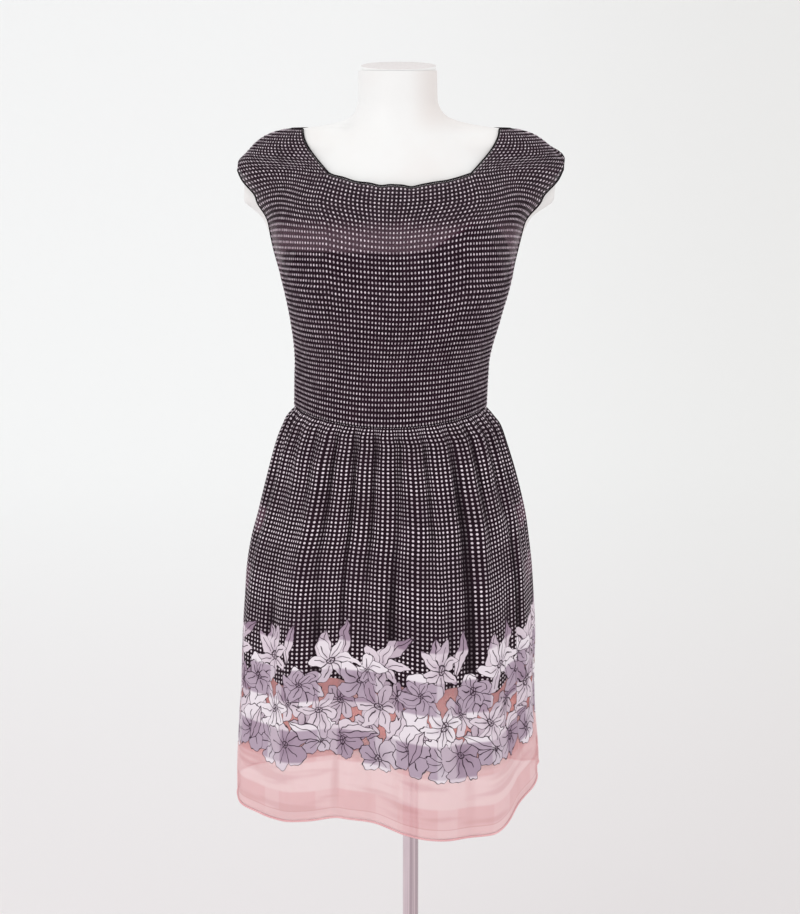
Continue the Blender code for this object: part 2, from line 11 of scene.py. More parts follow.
import bpy
import numpy as np
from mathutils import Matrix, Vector


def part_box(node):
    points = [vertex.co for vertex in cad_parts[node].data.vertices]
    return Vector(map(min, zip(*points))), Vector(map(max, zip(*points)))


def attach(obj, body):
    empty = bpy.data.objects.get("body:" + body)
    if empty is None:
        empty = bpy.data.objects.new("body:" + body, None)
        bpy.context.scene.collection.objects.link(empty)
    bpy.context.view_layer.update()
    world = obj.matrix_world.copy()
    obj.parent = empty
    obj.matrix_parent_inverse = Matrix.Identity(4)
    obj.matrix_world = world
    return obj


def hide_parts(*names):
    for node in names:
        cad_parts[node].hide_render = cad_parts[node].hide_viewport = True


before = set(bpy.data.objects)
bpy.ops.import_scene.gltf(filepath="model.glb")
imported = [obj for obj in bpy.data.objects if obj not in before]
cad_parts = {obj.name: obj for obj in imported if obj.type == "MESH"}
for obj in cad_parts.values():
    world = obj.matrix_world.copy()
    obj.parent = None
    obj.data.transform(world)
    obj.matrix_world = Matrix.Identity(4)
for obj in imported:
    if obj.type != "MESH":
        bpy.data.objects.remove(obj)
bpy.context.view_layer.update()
scene = bpy.context.scene

# The camera looks a little down at the dress from the height of its neck, with a short telephoto lens. The focal
# length is in pixels of the picture's long side, which the sensor's 36 mm are laid along.
PICTURE_HEIGHT = 914
SENSOR_SIDE = 36.0
FOCAL_PIXELS = 1982
CAMERA_PLACE = (-0.015, -2.66, 1.503)
CAMERA_DIP = math.radians(11.098)

bpy.ops.object.select_all(action="DESELECT")
bpy.ops.object.camera_add(location=CAMERA_PLACE, rotation=(math.pi / 2 - CAMERA_DIP, 0.0, 0.0))
camera = bpy.context.object
camera.data.sensor_width = SENSOR_SIDE
camera.data.lens = SENSOR_SIDE * FOCAL_PIXELS / PICTURE_HEIGHT
scene.camera = camera
scene.view_settings.view_transform = "Standard"


# The floor is matt pale paper that sweeps up into the backdrop. It is lit by the white room all round, by a large
# soft light high on the left, and by a weaker one on the right.
FLOOR_SIDE = 14.0
BACKDROP_AT = 6.0
BACKDROP_HEIGHT = 7.0
SWEEP_RADIUS = 2.0
SWEEP_STEPS = 24
NEARLY = 0.01


def colour(red, green, blue):
    """A screen colour, from 0 to 255, as the linear values that a shader takes."""
    parts = [part / 255 for part in (red, green, blue)]
    linear = [part / 12.92 if part <= 0.04045 else ((part + 0.055) / 1.055) ** 2.4 for part in parts]
    return (*linear, 1.0)


class Value:
    """What a node puts out, for sums that are written as sums."""

    def __init__(self, socket):
        self.socket = socket
        self.tree = socket.id_data

    def __add__(self, other):
        return maths("ADD", self, other)

    def __sub__(self, other):
        return maths("SUBTRACT", self, other)

    def __rsub__(self, other):
        return maths("SUBTRACT", other, self)

    def __mul__(self, other):
        return maths("MULTIPLY", self, other)

    def __truediv__(self, other):
        return maths("DIVIDE", self, other)

    def __abs__(self):
        return maths("ABSOLUTE", self)


def feed(node, inputs):
    """Give a node's inputs, by name or number, a value each or what another node puts out."""
    for name, value in inputs.items():
        if isinstance(value, Value):
            value.tree.links.new(value.socket, node.inputs[name])
        else:
            node.inputs[name].default_value = value


def add_node(tree, kind, inputs=None, **settings):
    node = tree.nodes.new(kind)
    for name, value in settings.items():
        setattr(node, name, value)
    feed(node, inputs or {})
    return node


def maths(operation, *values, kind="ShaderNodeMath"):
    tree = next(value.tree for value in values if isinstance(value, Value))
    return Value(add_node(tree, kind, dict(enumerate(values)), operation=operation).outputs[0])


def split(vector):
    return [Value(part) for part in add_node(vector.tree, "ShaderNodeSeparateXYZ", {"Vector": vector}).outputs]


def blend(share, first, second, blend_type="MIX"):
    """Two colours mixed, with a share of the second."""
    colours = {"Factor": share, 6: first, 7: second}
    return Value(add_node(share.tree, "ShaderNodeMix", colours, data_type="RGBA", blend_type=blend_type).outputs[2])


def ramp(value, low, high, to_low=0.0, to_high=1.0):
    """A value mapped smoothly from one span to another, and held at the ends."""
    spans = {"Value": value, "From Min": low, "From Max": high, "To Min": to_low, "To Max": to_high}
    return Value(add_node(value.tree, "ShaderNodeMapRange", spans, interpolation_type="SMOOTHSTEP").outputs[0])


def noise(place, scale, detail=3.0, roughness=0.55):
    values = {"Vector": place, "Scale": scale, "Detail": detail, "Roughness": roughness}
    return Value(add_node(place.tree, "ShaderNodeTexNoise", values).outputs["Fac"])


def object_place(shader, output="Object"):
    return Value(add_node(shader.id_data, "ShaderNodeTexCoord").outputs[output])


def new_material(name, **sockets):
    """A material and its shader, with what is the same all over set on the shader's own sockets."""
    made = bpy.data.materials.new(name)
    made.use_nodes = True
    shader = made.node_tree.nodes["Principled BSDF"]
    feed(shader, {socket.replace("_", " "): value for socket, value in sockets.items()})
    return made, shader


def finish_normal(shader, height, strength, distance):
    bump = add_node(height.tree, "ShaderNodeBump", {"Height": height, "Strength": strength, "Distance": distance})
    feed(shader, {"Normal": Value(bump.outputs[0])})


@contextmanager
def editing(select=None):
    """Work on the active piece in edit mode."""
    bpy.ops.object.mode_set(mode="EDIT")
    if select:
        bpy.ops.mesh.select_all(action=select)
    yield
    bpy.ops.object.mode_set(mode="OBJECT")


bpy.ops.object.select_all(action="DESELECT")
bpy.ops.mesh.primitive_plane_add(size=FLOOR_SIDE, location=(0.0, BACKDROP_AT - FLOOR_SIDE / 2, 0.0))
floor = bpy.context.object
floor.name = "paper_floor"
bpy.ops.object.transform_apply(location=True)
with editing("DESELECT"):
    bpy.ops.mesh.select_mode(type="EDGE")
for edge in floor.data.edges:
    edge.select = all(floor.data.vertices[v].co.y > BACKDROP_AT - NEARLY for v in edge.vertices)
with editing():
    bpy.ops.mesh.extrude_region_move(TRANSFORM_OT_translate={"value": (0.0, 0.0, BACKDROP_HEIGHT)})
for edge in floor.data.edges:
    ends = [floor.data.vertices[v].co for v in edge.vertices]
    edge.select = all(end.y > BACKDROP_AT - NEARLY and end.z < NEARLY for end in ends)
with editing():
    bpy.ops.mesh.bevel(offset=SWEEP_RADIUS, segments=SWEEP_STEPS)
bpy.ops.object.shade_smooth()

PAPER = colour(254, 255, 255)
PAPER_SHADED_LOW = colour(240, 236, 237)
PAPER_SHADED_RIGHT = colour(246, 245, 244)
paper, shader = new_material("pale_paper", Roughness=0.9)
place = object_place(shader)
x, y, z = split(place)
grain = noise(place, 900.0)
# Painted shade: the paper is darker low down and towards the front, and darker to the right, away from the large
# light. Fine grain flecks also mix in the low tone.
paper_painted_shade_tone = blend(ramp(z * 2.0 + y, 0.0, 5.0), PAPER_SHADED_LOW, PAPER)
paper_painted_shade_tone = blend(ramp(x, -0.5, 1.8), paper_painted_shade_tone, PAPER_SHADED_RIGHT, "MULTIPLY")
feed(shader, {"Base Color": blend(ramp(grain, 0.2, 0.8, 0.0, 0.03), paper_painted_shade_tone, PAPER_SHADED_LOW)})
finish_normal(shader, grain, 0.05, 0.0003)
floor.data.materials.append(paper)

ROOM_BRIGHTNESS = 0.915
room = bpy.data.worlds.new("white_room")
room.use_nodes = True
feed(room.node_tree.nodes["Background"], {"Color": colour(255, 255, 255), "Strength": ROOM_BRIGHTNESS})
scene.world = room

LIGHTS_AIM = Vector((0.0, 0.0, 1.0))
for light_place, light_side, watts in (((-1.9, -2.4, 2.9), 1.8, 14.0), ((2.0, -2.2, 2.0), 1.6, 4.0)):
    bpy.ops.object.light_add(type="AREA", location=light_place)
    lamp = bpy.context.object
    lamp.rotation_euler = (lamp.location - LIGHTS_AIM).to_track_quat("Z", "Y").to_euler()
    lamp.data.size = light_side
    lamp.data.energy = watts


# The dress form is a hollow white moulding with a satin finish: a torso without arms, with short flat arm ends and a
# neck. The dress hangs on it, so the form's own surface also gives every cloth panel its place.
FORM_BOTTOM = 0.800
WAIST = 1.048
UNDERARM = 1.222
SLEEVE_TIP = 1.386
NECK_POINT = 1.4225
NECK_TOP = 1.500

# Height, middle across, half width, depths to the front and the back, and the power of the oval
TORSO = (
    (0.800, -0.031, 0.150, 0.094, 0.106, 2.2),
    (0.860, -0.030, 0.160, 0.099, 0.113, 2.2),
    (0.950, -0.029, 0.150, 0.096, 0.104, 2.2),
    (1.048, -0.028, 0.1200, 0.085, 0.085, 2.2),
    (1.110, -0.0260, 0.1208, 0.089, 0.082, 2.2),
    (1.175, -0.0212, 0.1340, 0.110, 0.087, 2.3),
    (1.222, -0.0195, 0.1460, 0.117, 0.092, 2.5),
    (1.270, -0.0205, 0.1555, 0.111, 0.097, 2.8),
    (1.305, -0.0195, 0.1625, 0.102, 0.099, 2.8),
    (1.337, -0.0160, 0.1650, 0.093, 0.098, 2.6),
    (1.360, -0.0150, 0.155, 0.086, 0.095, 2.4),
    (1.385, -0.0145, 0.130, 0.074, 0.086, 2.2),
    (1.405, -0.0140, 0.105, 0.064, 0.076, 2.1),
    (1.425, -0.0135, 0.075, 0.055, 0.064, 2.0),
    (1.440, -0.0160, 0.0615, 0.051, 0.056, 2.0),
    (1.462, -0.0178, 0.0525, 0.048, 0.050, 2.0),
    (1.500, -0.0180, 0.0518, 0.047, 0.048, 2.0),
)
# Height, half width and half depth
SHOULDERS = (
    (1.235, 0.110, 0.030),
    (1.270, 0.150, 0.044),
    (1.305, 0.172, 0.051),
    (1.337, 0.214, 0.055),
    (1.358, 0.216, 0.055),
    (1.378, 0.2105, 0.051),
    (1.390, 0.2015, 0.047),
    (1.400, 0.1945, 0.043),
    (1.410, 0.1835, 0.037),
    (1.418, 0.1665, 0.031),
    (1.424, 0.1370, 0.026),
    (1.430, 0.095, 0.021),
    (1.440, 0.058, 0.016),
    (1.452, 0.030, 0.010),
)
SHOULDER_POWER = 3.2
SHOULDER_BLEND = 10
END_OF_ARM = 0.209
ARM_EASE = 0.004
ARM_EASE_TOP = 1.405
ARM_EASE_FADE = 0.01
FORM_COLUMNS = 128
FORM_ROWS = 150


def read_table(table, key):
    """A table's columns at the keys, each on a smooth curve through its rows that doesn't overshoot."""
    rows = np.array(sorted(table), dtype=float)
    keys, values = rows[:, 0], rows[:, 1:]
    step = np.diff(keys)[:, None]
    slope = np.diff(values, axis=0) / step
    before, after = slope[:-1], slope[1:]
    total = np.where(before + after == 0, 1.0, before + after)
    inner = np.where(before * after > 0, 2 * before * after / total, 0.0)
    ends = np.vstack((slope[:1], inner, slope[-1:]))
    key = np.clip(np.asarray(key, dtype=float), keys[0], keys[-1])
    low = np.clip(np.searchsorted(keys, key) - 1, 0, len(keys) - 2)
    share = ((key - keys[low]) / step[low, 0])[..., None]
    square, cube = share ** 2, share ** 3
    made = (2 * cube - 3 * square + 1) * values[low] + (3 * square - 2 * cube) * values[low + 1]
    made += (cube - 2 * square + share) * step[low] * ends[low] + (cube - square) * step[low] * ends[low + 1]
    return np.moveaxis(made, -1, 0)


def oval_radius(angle, half_width, half_depth, power):
    across = np.abs(np.sin(angle)) / half_width
    along = np.abs(np.cos(angle)) / half_depth
    return (across ** power + along ** power) ** (-1 / power)


def form_point(angle, height, arm_ease=0.0):
    """Points of the form's surface. Angles crowd towards the shoulder ends of a long section."""
    centre, half_width, front, back, power = read_table(TORSO, height)
    arm_width, arm_depth = read_table(SHOULDERS, height)
    arm_width = arm_width - arm_ease
    arm_depth = arm_depth - arm_ease
    depth = np.where(np.cos(angle) > 0, front, back)
    reach = np.maximum(half_width, arm_width)
    turned = np.arctan2(reach * np.sin(angle), depth * np.cos(angle))
    torso = oval_radius(turned, half_width, depth, power)
    arm = oval_radius(turned, arm_width, arm_depth, SHOULDER_POWER)
    radius = (torso ** SHOULDER_BLEND + arm ** SHOULDER_BLEND) ** (1 / SHOULDER_BLEND)
    side = np.maximum(np.abs(radius * np.sin(turned)), 1e-9)
    radius = radius * np.minimum(1.0, (END_OF_ARM - arm_ease) / side)
    return np.stack((centre + radius * np.sin(turned), -radius * np.cos(turned),
                     height + 0.0 * radius), axis=-1)


def new_grid(name, columns, rows):
    """A flat grid and its points' columns and rows, ready to be moved to their places."""
    bpy.ops.object.select_all(action="DESELECT")
    bpy.ops.mesh.primitive_grid_add(x_subdivisions=columns, y_subdivisions=rows, size=2.0)
    made = bpy.context.object
    made.name = name
    made.data.name = name
    flat = np.empty(len(made.data.vertices) * 3)
    made.data.vertices.foreach_get("co", flat)
    flat = flat.reshape(-1, 3)
    column = np.rint((flat[:, 0] + 1) / 2 * columns)
    row = np.rint((flat[:, 1] + 1) / 2 * rows)
    return made, column, row


def move_points(made, points):
    made.data.vertices.foreach_set("co", points.ravel())
    made.data.update()


def finish_piece(made, look, node_slot, *replaced):
    made.data.materials.clear()
    made.data.materials.append(look)
    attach(made, "root")
    if replaced:
        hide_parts(*replaced)


SMOOTH_BELOW = math.radians(40)
MERGE_WITHIN = 0.00001


def close_shell(smooth_below):
    """Join the side edges of a grid that runs round, close its ends and turn its faces outwards."""
    with editing("SELECT"):
        bpy.ops.mesh.remove_doubles(threshold=MERGE_WITHIN)
        bpy.ops.mesh.fill_holes(sides=0)
        bpy.ops.mesh.select_all(action="SELECT")
        bpy.ops.mesh.normals_make_consistent(inside=False)
    bpy.ops.object.shade_smooth_by_angle(angle=smooth_below)


WHITE = colour(247, 247, 246)
WHITE_WARM_AND_SHADED = colour(240, 234, 231)
satin_white, shader = new_material("satin_white_moulding", Specular_IOR_Level=0.35)
place = object_place(shader)
x, _, z = split(place)
scuff = noise(place, 140.0, 6.0)
# Painted shade: the right side of the neck is painted warmer and darker, as if by warm light reflected from the right.
# Elsewhere the warm tone comes and goes at random over the moulding.
painted_neck_side_shade = ramp(x, -0.01, 0.03) * ramp(z, 1.405, 1.45)
warm_tone_and_painted_shade = maths("MAXIMUM", painted_neck_side_shade, ramp(noise(place, 9.0), 0.35, 0.75, 0.0, 0.5))
feed(shader, {"Base Color": blend(warm_tone_and_painted_shade, WHITE, WHITE_WARM_AND_SHADED), "Roughness": ramp(scuff, 0.3, 0.8, 0.30, 0.42)})
finish_normal(shader, scuff, 0.12, 0.0002)

form, column, row = new_grid("form_shell", FORM_COLUMNS, FORM_ROWS)
height = FORM_BOTTOM + (NECK_TOP - FORM_BOTTOM) * row / FORM_ROWS
ease = ARM_EASE * np.clip((ARM_EASE_TOP - height) / ARM_EASE_FADE, 0.0, 1.0)
move_points(form, form_point(math.tau * column / FORM_COLUMNS, height, ease))
close_shell(SMOOTH_BELOW)
finish_piece(form, satin_white, "form_body", "dress_form")


# The neck cap is a separate white disc with a softened rim, pressed on the top of the neck. It is thin at the front
# and thicker at the back, so that its face leans forward. The neck is wider than a round disc, and so is the cap.
CAP_SIDES = 96
CAP_RIM = 0.0012
CAP_FRONT_DROP = 0.0045
CAP_SLANT = 0.110
CAP_WIDENING = 1.09
UPRIGHT = 0.9


def add_cylinder(name, node, sides):
    """A cylinder that fills a node's box."""
    low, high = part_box(node)
    bpy.ops.object.select_all(action="DESELECT")
    bpy.ops.mesh.primitive_cylinder_add(vertices=sides, radius=(high.x - low.x) / 2, depth=high.z - low.z,
                                        location=(low + high) / 2)
    made = bpy.context.object
    made.name = name
    bpy.ops.object.transform_apply(location=True)
    return made


def round_rim(made, width, segments):
    """Soften the rim of a cylinder's top."""
    for face in made.data.polygons:
        face.select = face.normal.z > UPRIGHT
    with editing():
        bpy.ops.mesh.bevel(offset=width, segments=segments)
    bpy.ops.object.shade_smooth_by_angle(angle=SMOOTH_BELOW)


cap = add_cylinder("neck_disc", "neck_cap", CAP_SIDES)
low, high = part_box("neck_cap")
for vertex in cap.data.vertices:
    vertex.co.x = high.x - (high.x - vertex.co.x) * CAP_WIDENING
    if vertex.co.z > (low.z + high.z) / 2:
        vertex.co.z += CAP_SLANT * (vertex.co.y - low.y) - CAP_FRONT_DROP
round_rim(cap, CAP_RIM, 5)

CAP_SIDE_SHADED = colour(234, 228, 227)
CAP_SIDE_SHADED_DEEP = colour(226, 219, 218)
cap_look, shader = new_material("white_cap", Specular_IOR_Level=0.35)
rub = noise(object_place(shader), 220.0, 5.0)
upward = split(object_place(shader, "Normal"))[2]
# Painted shade: the cap's rim and sides, which don't face up, are painted a darker grey-pink than its white upward
# face, with a random rub between two tones.
cap_tone_with_painted_shade = blend(ramp(upward, 0.3, 0.8), WHITE, blend(ramp(rub, 0.4, 0.8), CAP_SIDE_SHADED, CAP_SIDE_SHADED_DEEP))
feed(shader, {"Base Color": cap_tone_with_painted_shade, "Roughness": ramp(rub, 0.3, 0.8, 0.34, 0.5)})
finish_normal(shader, rub, 0.15, 0.0002)
finish_piece(cap, cap_look, "form_cap", "neck_cap")


# The stand is a chromed steel tube with a socket under the form and a collar on a heavy round base plate. The chrome
# is bright, with a painted mauve reflection of the room in its colour, and fine streaks along the tube that are partly
# marks of its drawing and partly painted dark mauve reflections.
TUBE_SIDES = 64
BASE_SIDES = 128

# The chrome's colours hold a painted mauve reflection of the room. The dull one also paints the dark mauve stripes
# that the tube reflects.
CHROME_MAUVE_REFLECTED = colour(226, 210, 216)
CHROME_DULL_AND_REFLECTED = colour(158, 139, 147)


def chrome_material(name, grain_stretch, dull_share, streak_and_reflection_share):
    """Chrome with fine marks drawn out along the piece, which are partly painted reflection streaks, and hazy dull
    patches, over a colour that holds a painted mauve reflection.
    """
    made, shader = new_material(name, Metallic=1.0)
    place = object_place(shader)
    stretched = add_node(place.tree, "ShaderNodeMapping", {"Vector": place, "Scale": grain_stretch})
    marks = noise(Value(stretched.outputs[0]), 60.0, 5.0)
    haze = ramp(noise(place, 14.0), 0.35, 0.8) * dull_share
    dull_and_painted_reflection = maths("MAXIMUM", haze, ramp(marks, 0.42, 0.62, 0.0, streak_and_reflection_share))
    feed(shader, {"Base Color": blend(dull_and_painted_reflection, CHROME_MAUVE_REFLECTED, CHROME_DULL_AND_REFLECTED), "Roughness": ramp(marks, 0.3, 0.8, 0.10, 0.26)})
    finish_normal(shader, marks, 0.08, 0.0002)
    return made


tube_chrome = chrome_material("drawn_chrome", (5.0, 5.0, 0.02), 0.25, 0.65)
turned_chrome = chrome_material("turned_chrome", (1.0, 1.0, 12.0), 0.4, 0.1)

tube = add_cylinder("pole_tube", "pole", TUBE_SIDES)
bpy.ops.object.shade_smooth_by_angle(angle=SMOOTH_BELOW)
finish_piece(tube, tube_chrome, "pole", "pole")

PLATE_EDGE = 0.0035
plate = add_cylinder("base_disc", "base_plate", BASE_SIDES)
round_rim(plate, PLATE_EDGE, 6)
finish_piece(plate, turned_chrome, "base", "base_plate")

COLLAR_NECK = 0.017
COLLAR_FOOT = 0.010
COLLAR_EDGE = 0.002
collar = add_cylinder("base_boss", "base_collar", TUBE_SIDES)
low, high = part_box("base_collar")
with editing("SELECT"):
    bpy.ops.mesh.bisect(plane_co=(0, 0, low.z + COLLAR_FOOT), plane_no=(0, 0, 1))
for vertex in collar.data.vertices:
    if vertex.co.z > low.z + COLLAR_FOOT + 0.001:
        shrink = COLLAR_NECK / math.hypot(vertex.co.x, vertex.co.y)
        vertex.co.x *= shrink
        vertex.co.y *= shrink
round_rim(collar, COLLAR_EDGE, 4)
finish_piece(collar, turned_chrome, "fittings", "base_collar")

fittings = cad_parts["form_socket"]
fittings.data.materials.clear()
fittings.data.materials.append(turned_chrome)


# The lining is a plain dark crepe body under the sheer cloth, cut low at the top so that its edge shows through. It is
# sewn in at the waist and the side seams, and its top is turned in.
SIDE_RISE = 0.0065
FRONT_DIP = 0.010
BACK_DIP = 0.002
DIP_ABOVE = 0.12
DIP_BELOW = 0.20
LINING_INSIDE = 0.0030
LINING_THICKNESS = 0.001
LINING_FOOT = WAIST - 0.008
LINING_COLUMNS = 64
LINING_ROWS = 44
SEAM_GAP = 0.0003

# Degrees round the body, and the height of the lining's top edge there
LINING_TOP = (
    (-180, 1.232), (-125, 1.232), (-105, 1.218), (-90, 1.208), (-72, 1.232),
    (-52, 1.270), (0, 1.268), (13, 1.270), (26, 1.289), (36, 1.306),
    (52, 1.284), (72, 1.230), (90, 1.208), (105, 1.218), (125, 1.232), (180, 1.232),
)
# Height, and how far the armhole opens to the front and to the back
ARMHOLE = (
    (1.222, 0.000, 0.000),
    (1.228, 0.016, 0.014),
    (1.242, 0.029, 0.026),
    (1.270, 0.039, 0.036),
    (1.305, 0.044, 0.038),
    (1.335, 0.0435, 0.042),
    (1.357, 0.0345, 0.034),
    (1.372, 0.022, 0.021),
    (1.386, 0.000, 0.000),
)
Neckline = namedtuple("Neckline", "middle corner corner_x point_x wave")
NECK_FRONT = Neckline(1.3515, 1.3665, 0.092, 0.130, 0.0009)
NECK_BACK = Neckline(1.372, 1.380, 0.090, 0.124, 0.0006)
STRAP_FROM = 57 / 138


def outward(surface, angle, height):
    """Unit normals of a surface that runs round the body, by small steps."""
    turn, rise = 0.02, 0.0015
    round_step = surface(angle + turn, height) - surface(angle - turn, height)
    up_step = surface(angle, height + rise) - surface(angle, height - rise)
    normal = np.cross(round_step, up_step)
    return normal / np.linalg.norm(normal, axis=-1, keepdims=True)


def round_body(turn, back):
    return np.pi - turn if back else turn


def signed_degrees(angle):
    return np.degrees(np.arctan2(np.sin(angle), np.cos(angle)))


def turn_where(height, back, reached):
    """The turn from the middle at which the form's points first meet a test, level by level."""
    low = np.zeros_like(height)
    high = low + np.pi / 2
    for _ in range(32):
        middle = (low + high) / 2
        hit = reached(form_point(round_body(middle, back), height))
        high = np.where(hit, middle, high)
        low = np.where(hit, low, middle)
    return (low + high) / 2


def armhole_turn(height, back):
    opening = read_table(ARMHOLE, height)[1 if back else 0]
    turn = turn_where(height, back, lambda point: np.abs(point[..., 1]) <= opening)
    return np.where((height <= UNDERARM) | (height >= SLEEVE_TIP), np.pi / 2, turn)


def neck_turn(height, x, back):
    centre = read_table(TORSO, height)[0]
    return turn_where(height, back, lambda point: point[..., 0] - centre >= x)


def column_turn(share, height, back):
    """The turn of a panel's column, from -1 at one side edge to 1 at the other."""
    neck = NECK_BACK if back else NECK_FRONT
    edge = armhole_turn(height, back)
    at_corner = neck_turn(np.array([neck.corner]), neck.corner_x, back)[0]
    rise = np.clip((height - WAIST) / (neck.corner - WAIST), 0.0, 1.0)
    at_waist = STRAP_FROM * np.pi / 2
    inner = at_waist + (at_corner - at_waist) * rise ** 2
    side = np.abs(share)
    outer = inner + (edge - inner) * (side - STRAP_FROM) / (1 - STRAP_FROM)
    return np.copysign(np.where(side <= STRAP_FROM, inner * side / STRAP_FROM, outer), share)


def seam_shift(angle, height):
    """How far the cloth lies up or down with the waist seam, which dips at the front and rises to the sides."""
    dip = np.where(np.cos(angle) > 0, FRONT_DIP, BACK_DIP)
    run = np.where(height > WAIST, DIP_ABOVE, DIP_BELOW)
    near = np.clip(1 - np.abs(height - WAIST) / run, 0.0, 1.0)
    return (SIDE_RISE * np.sin(angle) ** 2 - dip * np.cos(angle) ** 2) * near ** 2


def part_at_seam(points, back):
    """Keep a front panel before the side plane, and a back panel behind it."""
    limit = SEAM_GAP / 2
    points[..., 1] = np.maximum(points[..., 1], limit) if back else np.minimum(points[..., 1], -limit)
    return points


def lay_uv(made, across, up):
    """Write each point's place on the flat cloth to the piece's UV map."""
    corner = np.empty(len(made.data.loops), dtype=np.int64)
    made.data.loops.foreach_get("vertex_index", corner)
    flat = np.stack((across[corner], up[corner]), axis=-1)
    made.data.uv_layers[0].data.foreach_set("uv", flat.ravel())


def give_thickness(made, thickness, back):
    """Turn a panel's faces outwards and give it a wall that grows inwards."""
    if back:
        with editing("SELECT"):
            bpy.ops.mesh.flip_normals()
    bpy.ops.object.shade_smooth()
    wall = made.modifiers.new("cloth_wall", "SOLIDIFY")
    wall.thickness = thickness
    wall.offset = -1.0
    bpy.ops.object.modifier_apply(modifier=wall.name)


def new_group(name, numbers, puts_out):
    """A node group that takes a place and numbers, what it is given, and the node to feed its own results to."""
    group = bpy.data.node_groups.new(name, "ShaderNodeTree")
    group.interface.new_socket("Place", in_out="INPUT", socket_type="NodeSocketVector")
    for number in numbers:
        group.interface.new_socket(number, in_out="INPUT", socket_type="NodeSocketFloat")
    for number in puts_out:
        group.interface.new_socket(number, in_out="OUTPUT", socket_type="NodeSocketFloat")
    given = group.nodes.new("NodeGroupInput").outputs[:-1]
    return group, [Value(socket) for socket in given], group.nodes.new("NodeGroupOutput")


def use_group(group, place, **numbers):
    """What a node group puts out at a place, by name."""
    node = add_node(place.tree, "ShaderNodeGroup", {"Place": place, **numbers}, node_tree=group)
    return {socket.name: Value(socket) for socket in node.outputs}


# Fine threads and the crepe's crinkle, for every cloth: a tone, a roughness and a height that change over the surface.
crepe, (place, thread), put_out = new_group("crepe_weave", ("thread",), ("Tone", "Roughness", "Height"))
waves = [maths("SINE", part * thread) for part in split(place)]
threads = waves[0] * waves[1] * 0.5 + waves[2]
crinkle = noise(place, 700.0, 4.0, 0.65)
blotch = noise(place, 38.0, 2.0)
feed(put_out, {"Tone": blotch * 0.5 + crinkle * 0.5, "Roughness": ramp(crinkle, 0.25, 0.8, 0.66, 0.86),
               "Height": threads * 0.15 + crinkle})


THREAD_TURNS = 9000.0


def crepe_material(name, dark, light, **sockets):
    """A crepe cloth's material and shader, with its plain ground laid on, and that ground for a print to lie on."""
    made, shader = new_material(name, **sockets)
    weave = use_group(crepe, object_place(shader), thread=THREAD_TURNS)
    ground = blend(ramp(weave["Tone"], 0.3, 0.7), dark, light)
    feed(shader, {"Base Color": ground, "Roughness": weave["Roughness"]})
    finish_normal(shader, weave["Height"], 0.4, 0.0002)
    return made, shader, ground


LINING_DARK = colour(29, 13, 24)
LINING_LIGHT = colour(41, 25, 35)
lining_look, _, _ = crepe_material("dark_lining_crepe", LINING_DARK, LINING_LIGHT, Sheen_Weight=0.02,
                                   Specular_IOR_Level=0.1)

PANELS = (("front", False), ("back", True))
LINING_FLAT = (0.40, 0.235)
for side, back in PANELS:
    piece, column, row = new_grid("lining_body_" + side, LINING_COLUMNS, LINING_ROWS)
    share = 2 * column / LINING_COLUMNS - 1
    angle = round_body(column_turn(share, np.full_like(share, UNDERARM), back), back)
    foot = LINING_FOOT + seam_shift(angle, WAIST)
    height = foot + (read_table(LINING_TOP, signed_degrees(angle))[0] - foot) * row / LINING_ROWS
    angle = round_body(column_turn(share, height, back), back)
    surface = form_point(angle, height)
    points = surface + outward(form_point, angle, height) * (LINING_INSIDE + LINING_THICKNESS)
    move_points(piece, part_at_seam(points, back))
    lay_uv(piece, share * LINING_FLAT[0] / 2, height - LINING_FOOT)
    give_thickness(piece, LINING_THICKNESS, back)
    finish_piece(piece, lining_look, "lining_cloth", "lining_" + side)


# The bodice is a sheer dark crepe with rows of printed dots, shirred all over: elastic rows draw it in, so that each
# dot sits on a small puff. The cap sleeves are cut in one with it, and the front and back meet at the sides and
# shoulders.
BODICE_INSIDE = 0.0050
BODICE_INSIDE_AT_SHOULDER = 0.0011
SETTLE_FROM = 1.36
SETTLE_RUN = 0.04
BODICE_THICKNESS = 0.0014
POINTS_PER_DOT = 3
BODICE_COLUMNS = 276
BODY_ROWS = 153
STRAP_ROWS = 42
PUFF_UP = 0.00045
PUFF_ACROSS = 0.00035
ROW_WANDER = 0.0005
NECK_WAVE_COUNT = 5
NECK_WAVE_ROWS = 10
SLEEVE_ARC = 0.008
SLEEVE_ARC_FROM = 1.26
SLEEVE_FLARE = 0.005
SLEEVE_FLARE_RUN = 0.012
RUFFLE_ROWS = 7
RUFFLE_DEPTH = 0.0012


def lengths_along(points):
    return np.concatenate(([0.0], np.cumsum(np.linalg.norm(np.diff(points, axis=0), axis=1))))


# How far apart the rows of dots lie, by height: they crowd towards the neck and over the shoulder
ROW_PITCH = (
    (1.048, 0.0061), (1.200, 0.0063), (1.285, 0.0064), (1.315, 0.0053),
    (1.3665, 0.0045), (1.400, 0.0041), (1.4225, 0.0033),
)


def row_level(row, neck):
    """The height of a row at the outer end of the neckline, and on up the strap."""
    heights = np.linspace(WAIST, NECK_POINT, 400)
    steps = np.diff(heights) / read_table(ROW_PITCH, (heights[1:] + heights[:-1]) / 2)[0]
    counts = np.concatenate(([0.0], np.cumsum(steps)))
    at_corner = np.interp(neck.corner, heights, counts)
    above = at_corner + (row - BODY_ROWS) / STRAP_ROWS * (counts[-1] - at_corner)
    return np.interp(np.where(row <= BODY_ROWS, row / BODY_ROWS * at_corner, above), counts, heights)


